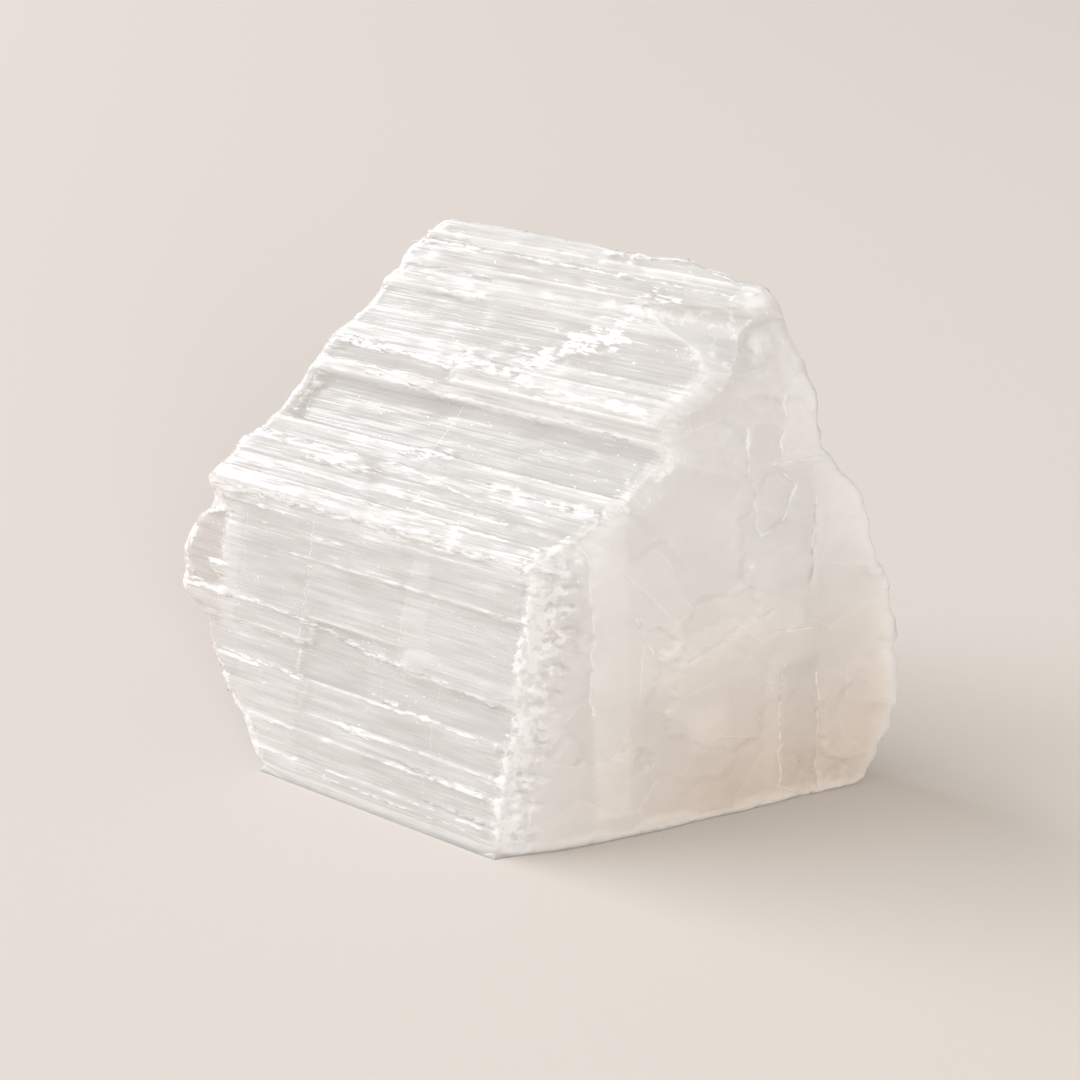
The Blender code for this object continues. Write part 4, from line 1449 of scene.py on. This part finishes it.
def fibrous_material(trees, settings):
    """Satin, striped finish of the faces along the fibres."""
    material, graph, shader = new_material("selenite_fibrous")
    along, across = graph.split(graph.add("ShaderNodeAttribute", output="Vector", attribute_name="fibre"))[:2]
    silk, ply, white, warm = (attribute_value(graph, name) for name in ("silk", "ply", "white", "warm"))

    def streaks(kind):
        """Noise drawn out along the fibres."""
        over = graph.math("MULTIPLY_ADD", across, 1.0 / kind.width, settings.seed + kind.shift)
        place = graph.join(graph.math("DIVIDE", along, kind.length), over)
        return graph.noise(place, detail=kind.detail, flat=True)

    fine, broad = graph.centred(streaks(FINE)), graph.centred(streaks(BROAD))
    ragged, dashes = streaks(RAGGED), streaks(DASHES)
    rim = graph.ramp(attribute_value(graph, "rough"), *LUMPY_FROM)
    lumps = graph.noise(graph.join(along, across), *RIM_LUMPS, flat=True)
    ragged = graph.add("ShaderNodeMix", {0: rim, 2: ragged, 3: lumps})
    tone = graph.math("MULTIPLY", fine, graph.math("MULTIPLY_ADD", silk, *FINE_TONE))
    tone = graph.math("MULTIPLY_ADD", broad, BROAD_TONE, graph.math("ADD", tone, silk))
    density = graph.math("MULTIPLY_ADD", ply, DASH_PLY, graph.math("MULTIPLY_ADD", broad, *DASH_BROAD))
    lines = graph.math("MULTIPLY", chips(graph, trees, density, dashes, DASH_CHIPS), DASH_TONE)
    swayed = graph.math("MULTIPLY", white, WHITE_SWAY)
    density = graph.math("MULTIPLY_ADD", broad, swayed, white)
    bright = graph.math("MAXIMUM", lines, chips(graph, trees, density, ragged, CRUMB_CHIPS))
    bend = graph.math("MULTIPLY_ADD", broad, CRACK_SWAY, along)
    broken = graph.ramp(ragged, *CRACK_BREAKS)
    for low, far, high, near, line in CROSS_CRACKS:
        inputs = {"Along": bend, "Across": across, "Low": low, "Low Along": far, "High": high,
                  "High Along": near, "Line": line}
        line = graph.math("MULTIPLY", graph.group(trees["hairline"], inputs), broken)
        bright = graph.math("MAXIMUM", bright, line)
    place = graph.join(graph.math("MULTIPLY", along, SPECK_STRETCH), across)
    specks = graph.noise(place, *SPECKS, flat=True)
    density = graph.math("MULTIPLY_ADD", broad, *SPECK_DENSITY)
    bright = graph.math("MAXIMUM", bright, chips(graph, trees, density, specks, FLECK_CHIPS))
    milk = graph.math("MAXIMUM", graph.math("MAXIMUM", tone, 0.0), bright, clamp=True)
    height = graph.math("MULTIPLY_ADD", ragged, swayed, fine)
    finish(graph, shader, stone_colour(graph, trees, settings, milk, warm), height, *SIDE_BUMP)
    return material


def broken_material(trees, settings):
    """Milky finish of the broken ends: cloudy, with faint panels, cracks and flecks."""
    material, graph, shader = new_material("selenite_broken")
    place = graph.scale(graph.add("ShaderNodeTexCoord", output="Object"), TEXTURE_SCALE)
    silk, white, warm = (attribute_value(graph, name) for name in ("silk", "white", "warm"))
    cloud = graph.centred(graph.noise(place, *CLOUDS))
    mottle = graph.noise(place, *MOTTLE)
    flat = graph.join(*graph.split(place)[1:3])
    bent = graph.join(*(graph.math("MULTIPLY", noise, by) for noise, by in zip((cloud, mottle), PANEL_BEND)))
    cells = {"Vector": graph.vector("ADD", flat, bent), "Scale": PANEL_SCALE}
    panels = graph.add("ShaderNodeTexVoronoi", cells, "Color", voronoi_dimensions="2D")
    panel = graph.centred(graph.split(panels)[0])
    lines = graph.add("ShaderNodeTexVoronoi", cells, voronoi_dimensions="2D", feature="DISTANCE_TO_EDGE")
    broken = graph.ramp(graph.noise(place, *LINE_PLACES), *LINE_BREAKS)
    lines = graph.math("MULTIPLY", graph.ramp(lines, *PANEL_LINE), broken)
    tone = silk
    for part, share in ((cloud, CLOUD_TONE), (panel, PANEL_TONE), (graph.centred(mottle), MOTTLE_TONE)):
        tone = graph.math("MULTIPLY_ADD", part, share, tone)
    # white crumbs of the ends, which on the chamfer are partly painted glints
    crumbs_and_glints = chips(graph, trees, white, mottle, END_CRUMBS_AND_GLINTS)
    flecks = chips(graph, trees, END_SPECK_DENSITY, graph.noise(place, *END_SPECKS), END_FLECKS)
    bright = graph.math("MAXIMUM", crumbs_and_glints, graph.math("MULTIPLY", flecks, END_SPECK_TONE))
    milk = graph.math("ADD", graph.math("MAXIMUM", tone, bright), lines, clamp=True)
    height = graph.math("MULTIPLY_ADD", panel, PANEL_RISE, mottle)
    finish(graph, shader, stone_colour(graph, trees, settings, milk, warm), height, *END_BUMP)
    return material


def splinter_material(settings):
    """White finish of the loose splinters."""
    material, _graph, shader = new_material("selenite_splinter")
    shader.inputs["Base Color"].default_value = settings.milk_colour
    shader.inputs["Roughness"].default_value = SPLINTER_ROUGHNESS
    set_stone(shader)
    return material


def floor_material(settings):
    """Plain pale matte floor."""
    material, _graph, shader = new_material("pale_floor")
    shader.inputs["Base Color"].default_value = settings.floor_colour
    shader.inputs["Roughness"].default_value = FLOOR_ROUGHNESS
    return material


# ---------------------------------------------------------------- settings


class SeleniteSettings(bpy.types.PropertyGroup):
    """Sizes and colours of the block's finish."""

    seed: bpy.props.IntProperty(
        name="Seed", description="Chooses the pattern of strips, facets and splinters", default=7, min=0)
    strip_depth: bpy.props.FloatProperty(
        name="Strip Depth", description="How far broad fibre strips step from each other, in mm",
        default=0.06, min=0.0, max=1.0)
    fine_strip_depth: bpy.props.FloatProperty(
        name="Fine Strip Depth", description="How far fine fibre strips step from each other, in mm",
        default=0.035, min=0.0, max=1.0)
    facet_size: bpy.props.FloatProperty(
        name="Facet Size", description="Size of the smooth facets of the broken ends, in mm",
        default=6.5, min=1.0)
    facet_depth: bpy.props.FloatProperty(
        name="Facet Depth", description="How strongly those facets tilt", default=0.09, min=0.0, max=1.0)
    hackle_size: bpy.props.FloatProperty(
        name="Hackle Size", description="Size of the small facets of rough breaks, in mm",
        default=1.3, min=0.2)
    hackle_depth: bpy.props.FloatProperty(
        name="Hackle Depth", description="How strongly the small facets step and tilt",
        default=1.0, min=0.0, max=3.0)
    splinter_density: bpy.props.FloatProperty(
        name="Splinter Density", description="Splinters on each square mm of crumbled edge",
        default=1.6, min=0.0)
    splinter_length: bpy.props.FloatProperty(
        name="Splinter Length", description="Length of the splinters, in mm", default=1.0, min=0.1)
    splinter_width: bpy.props.FloatProperty(
        name="Splinter Width", description="Width of the splinters, in mm", default=0.15, min=0.01)
    clear_colour: bpy.props.FloatVectorProperty(
        name="Clear Colour", description="Colour of the clear, glassy stone", subtype="COLOR", size=4,
        default=CLEAR)
    milk_colour: bpy.props.FloatVectorProperty(
        name="Milk Colour", description="Colour of white satin and crumbled stone", subtype="COLOR", size=4,
        default=MILK)
    # this warm colour also paints the warm bounce light from the floor at the foot
    warm_tint: bpy.props.FloatVectorProperty(
        name="Warm Tint", description="Tint of the stone towards its foot", subtype="COLOR", size=4,
        default=WARM)


class StageSettings(bpy.types.PropertyGroup):
    """Floor, lights and camera."""

    floor_colour: bpy.props.FloatVectorProperty(
        name="Floor Colour", description="Colour of the plain floor", subtype="COLOR", size=4,
        default=(0.612, 0.572, 0.530, 1.0))
    sky_colour: bpy.props.FloatVectorProperty(
        name="Sky Colour", description="Colour of the light from all round", subtype="COLOR", size=4,
        default=(1.0, 0.925, 0.850, 1.0))
    sky_strength: bpy.props.FloatProperty(
        name="Sky Strength", description="Brightness of the light from all round", default=0.57, min=0.0)
    key_power: bpy.props.FloatProperty(
        name="Key Power", description="Power of the large soft light on the left", default=84.0, min=0.0,
        unit="POWER")
    key_size: bpy.props.FloatProperty(
        name="Key Size", description="Width of that light", default=2.0, min=0.01, unit="LENGTH")
    key_place: bpy.props.FloatVectorProperty(
        name="Key Place", description="Where that light stands", subtype="XYZ", unit="LENGTH",
        default=(-2.22, -0.60, 1.95))
    key_colour: bpy.props.FloatVectorProperty(
        name="Key Colour", description="Colour of that light", subtype="COLOR", size=3,
        default=(0.96, 1.0, 1.06))
    fill_power: bpy.props.FloatProperty(
        name="Fill Power", description="Power of the large soft light on the right", default=43.0, min=0.0,
        unit="POWER")
    fill_size: bpy.props.FloatProperty(
        name="Fill Size", description="Width of that light", default=1.6, min=0.01, unit="LENGTH")
    fill_place: bpy.props.FloatVectorProperty(
        name="Fill Place", description="Where that light stands", subtype="XYZ", unit="LENGTH",
        default=(1.8, -2.1, 1.2))
    fill_colour: bpy.props.FloatVectorProperty(
        name="Fill Colour", description="Colour of that light", subtype="COLOR", size=3,
        default=(1.0, 1.0, 1.0))
    camera_place: bpy.props.FloatVectorProperty(
        name="Camera Place", description="Where the camera stands", subtype="XYZ", unit="LENGTH",
        default=(0.06677, -0.11597, 0.10071))
    camera_azimuth: bpy.props.FloatProperty(
        name="Camera Azimuth", description="Turn of the camera about the vertical", unit="ROTATION",
        default=radians(29.30))
    camera_elevation: bpy.props.FloatProperty(
        name="Camera Elevation", description="How far the camera looks down", unit="ROTATION",
        default=radians(29.18))
    camera_lens: bpy.props.FloatProperty(
        name="Camera Lens", description="Focal length in mm, on a sensor 36 mm wide", default=51.0, min=1.0)


# ---------------------------------------------------------------- operators


FLOOR_HALF = 4.0
SENSOR_WIDTH = 36.0
CLIP_START = 0.001


class SELENITE_OT_block(bpy.types.Operator):
    """Build the block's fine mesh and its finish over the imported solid"""

    bl_idname = "selenite.block"
    bl_label = "Crystal Block"

    def execute(self, context):
        settings = context.scene.selenite
        trees = {"body": body_tree(), "chips": chips_tree(), "hairline": hairline_tree()}
        materials = fibrous_material(trees, settings), broken_material(trees, settings)
        mesh = crystal_mesh(settings.seed)
        names = ("Strip Depth", "Fine Strip Depth", "Facet Size", "Facet Depth", "Hackle Size",
                 "Hackle Depth")
        values = {name: getattr(settings, name.lower().replace(" ", "_")) for name in names}
        values["Seed"] = float(settings.seed)
        piece = applied("selenite_crystal", mesh, relief_tree(materials), values)
        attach(piece, BODY)
        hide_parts(NODE)
        return {"FINISHED"}


class SELENITE_OT_splinters(bpy.types.Operator):
    """Strew small splinters over the block's crumbled edges"""

    bl_idname = "selenite.splinters"
    bl_label = "Splinters"

    def execute(self, context):
        settings = context.scene.selenite
        block = bpy.data.objects["selenite_crystal"]
        values = {"Density": settings.splinter_density, "Length": settings.splinter_length,
                  "Width": settings.splinter_width, "Seed": settings.seed}
        piece = applied("selenite_splinters", block.data, splinters_tree(splinter_material(settings)), values)
        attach(piece, BODY)
        return {"FINISHED"}


class SELENITE_OT_stage(bpy.types.Operator):
    """Set up the floor, the lights and the camera"""

    bl_idname = "selenite.stage"
    bl_label = "Stage"

    def execute(self, context):
        scene, settings = context.scene, context.scene.selenite_stage
        mesh = bpy.data.meshes.new("floor")
        corners = ((-1, -1), (1, -1), (1, 1), (-1, 1))
        mesh.from_pydata([(x * FLOOR_HALF, y * FLOOR_HALF, 0.0) for x, y in corners], [], [(0, 1, 2, 3)])
        floor = bpy.data.objects.new("floor", mesh)
        mesh.materials.append(floor_material(settings))
        scene.collection.objects.link(floor)
        world = bpy.data.worlds.new("pale_room")
        world.use_nodes = True
        background = next(node for node in world.node_tree.nodes if node.type == "BACKGROUND")
        background.inputs["Color"].default_value = settings.sky_colour
        background.inputs["Strength"].default_value = settings.sky_strength
        scene.world = world
        for name in ("key", "fill"):
            light = bpy.data.lights.new(name, "AREA")
            light.energy = getattr(settings, name + "_power")
            light.size = getattr(settings, name + "_size")
            light.color = getattr(settings, name + "_colour")
            place = Vector(getattr(settings, name + "_place"))
            lamp = bpy.data.objects.new(name, light)
            lamp.location = place
            lamp.rotation_euler = place.to_track_quat("Z", "Y").to_euler()
            scene.collection.objects.link(lamp)
        lens = bpy.data.cameras.new("camera")
        lens.lens = settings.camera_lens
        lens.sensor_width = SENSOR_WIDTH
        lens.clip_start = CLIP_START
        camera = bpy.data.objects.new("camera", lens)
        camera.location = settings.camera_place
        camera.rotation_euler = (pi / 2 - settings.camera_elevation, 0.0, settings.camera_azimuth)
        scene.collection.objects.link(camera)
        scene.camera = camera
        scene.view_settings.view_transform = "Standard"
        return {"FINISHED"}


class SELENITE_PT_panel(bpy.types.Panel):
    """Sizes and colours, with a button for each step"""

    bl_idname = "SELENITE_PT_panel"
    bl_label = "Selenite Block"
    bl_space_type = "VIEW_3D"
    bl_region_type = "UI"
    bl_category = "Selenite"

    def draw(self, context):
        for settings, operators in ((context.scene.selenite, (SELENITE_OT_block, SELENITE_OT_splinters)),
                                    (context.scene.selenite_stage, (SELENITE_OT_stage,))):
            column = self.layout.column()
            for name in type(settings).__annotations__:
                column.prop(settings, name)
            for operator in operators:
                column.operator(operator.bl_idname)


CLASSES = (SeleniteSettings, StageSettings, SELENITE_OT_block, SELENITE_OT_splinters, SELENITE_OT_stage,
           SELENITE_PT_panel)


def register():
    for item in CLASSES:
        bpy.utils.register_class(item)
    bpy.types.Scene.selenite = bpy.props.PointerProperty(type=SeleniteSettings)
    bpy.types.Scene.selenite_stage = bpy.props.PointerProperty(type=StageSettings)


def unregister():
    del bpy.types.Scene.selenite_stage
    del bpy.types.Scene.selenite
    for item in reversed(CLASSES):
        bpy.utils.unregister_class(item)


def main():
    """Build every piece and the stage."""
    register()
    bpy.ops.selenite.block()
    bpy.ops.selenite.splinters()
    bpy.ops.selenite.stage()


if __name__ == "__main__":
    main()
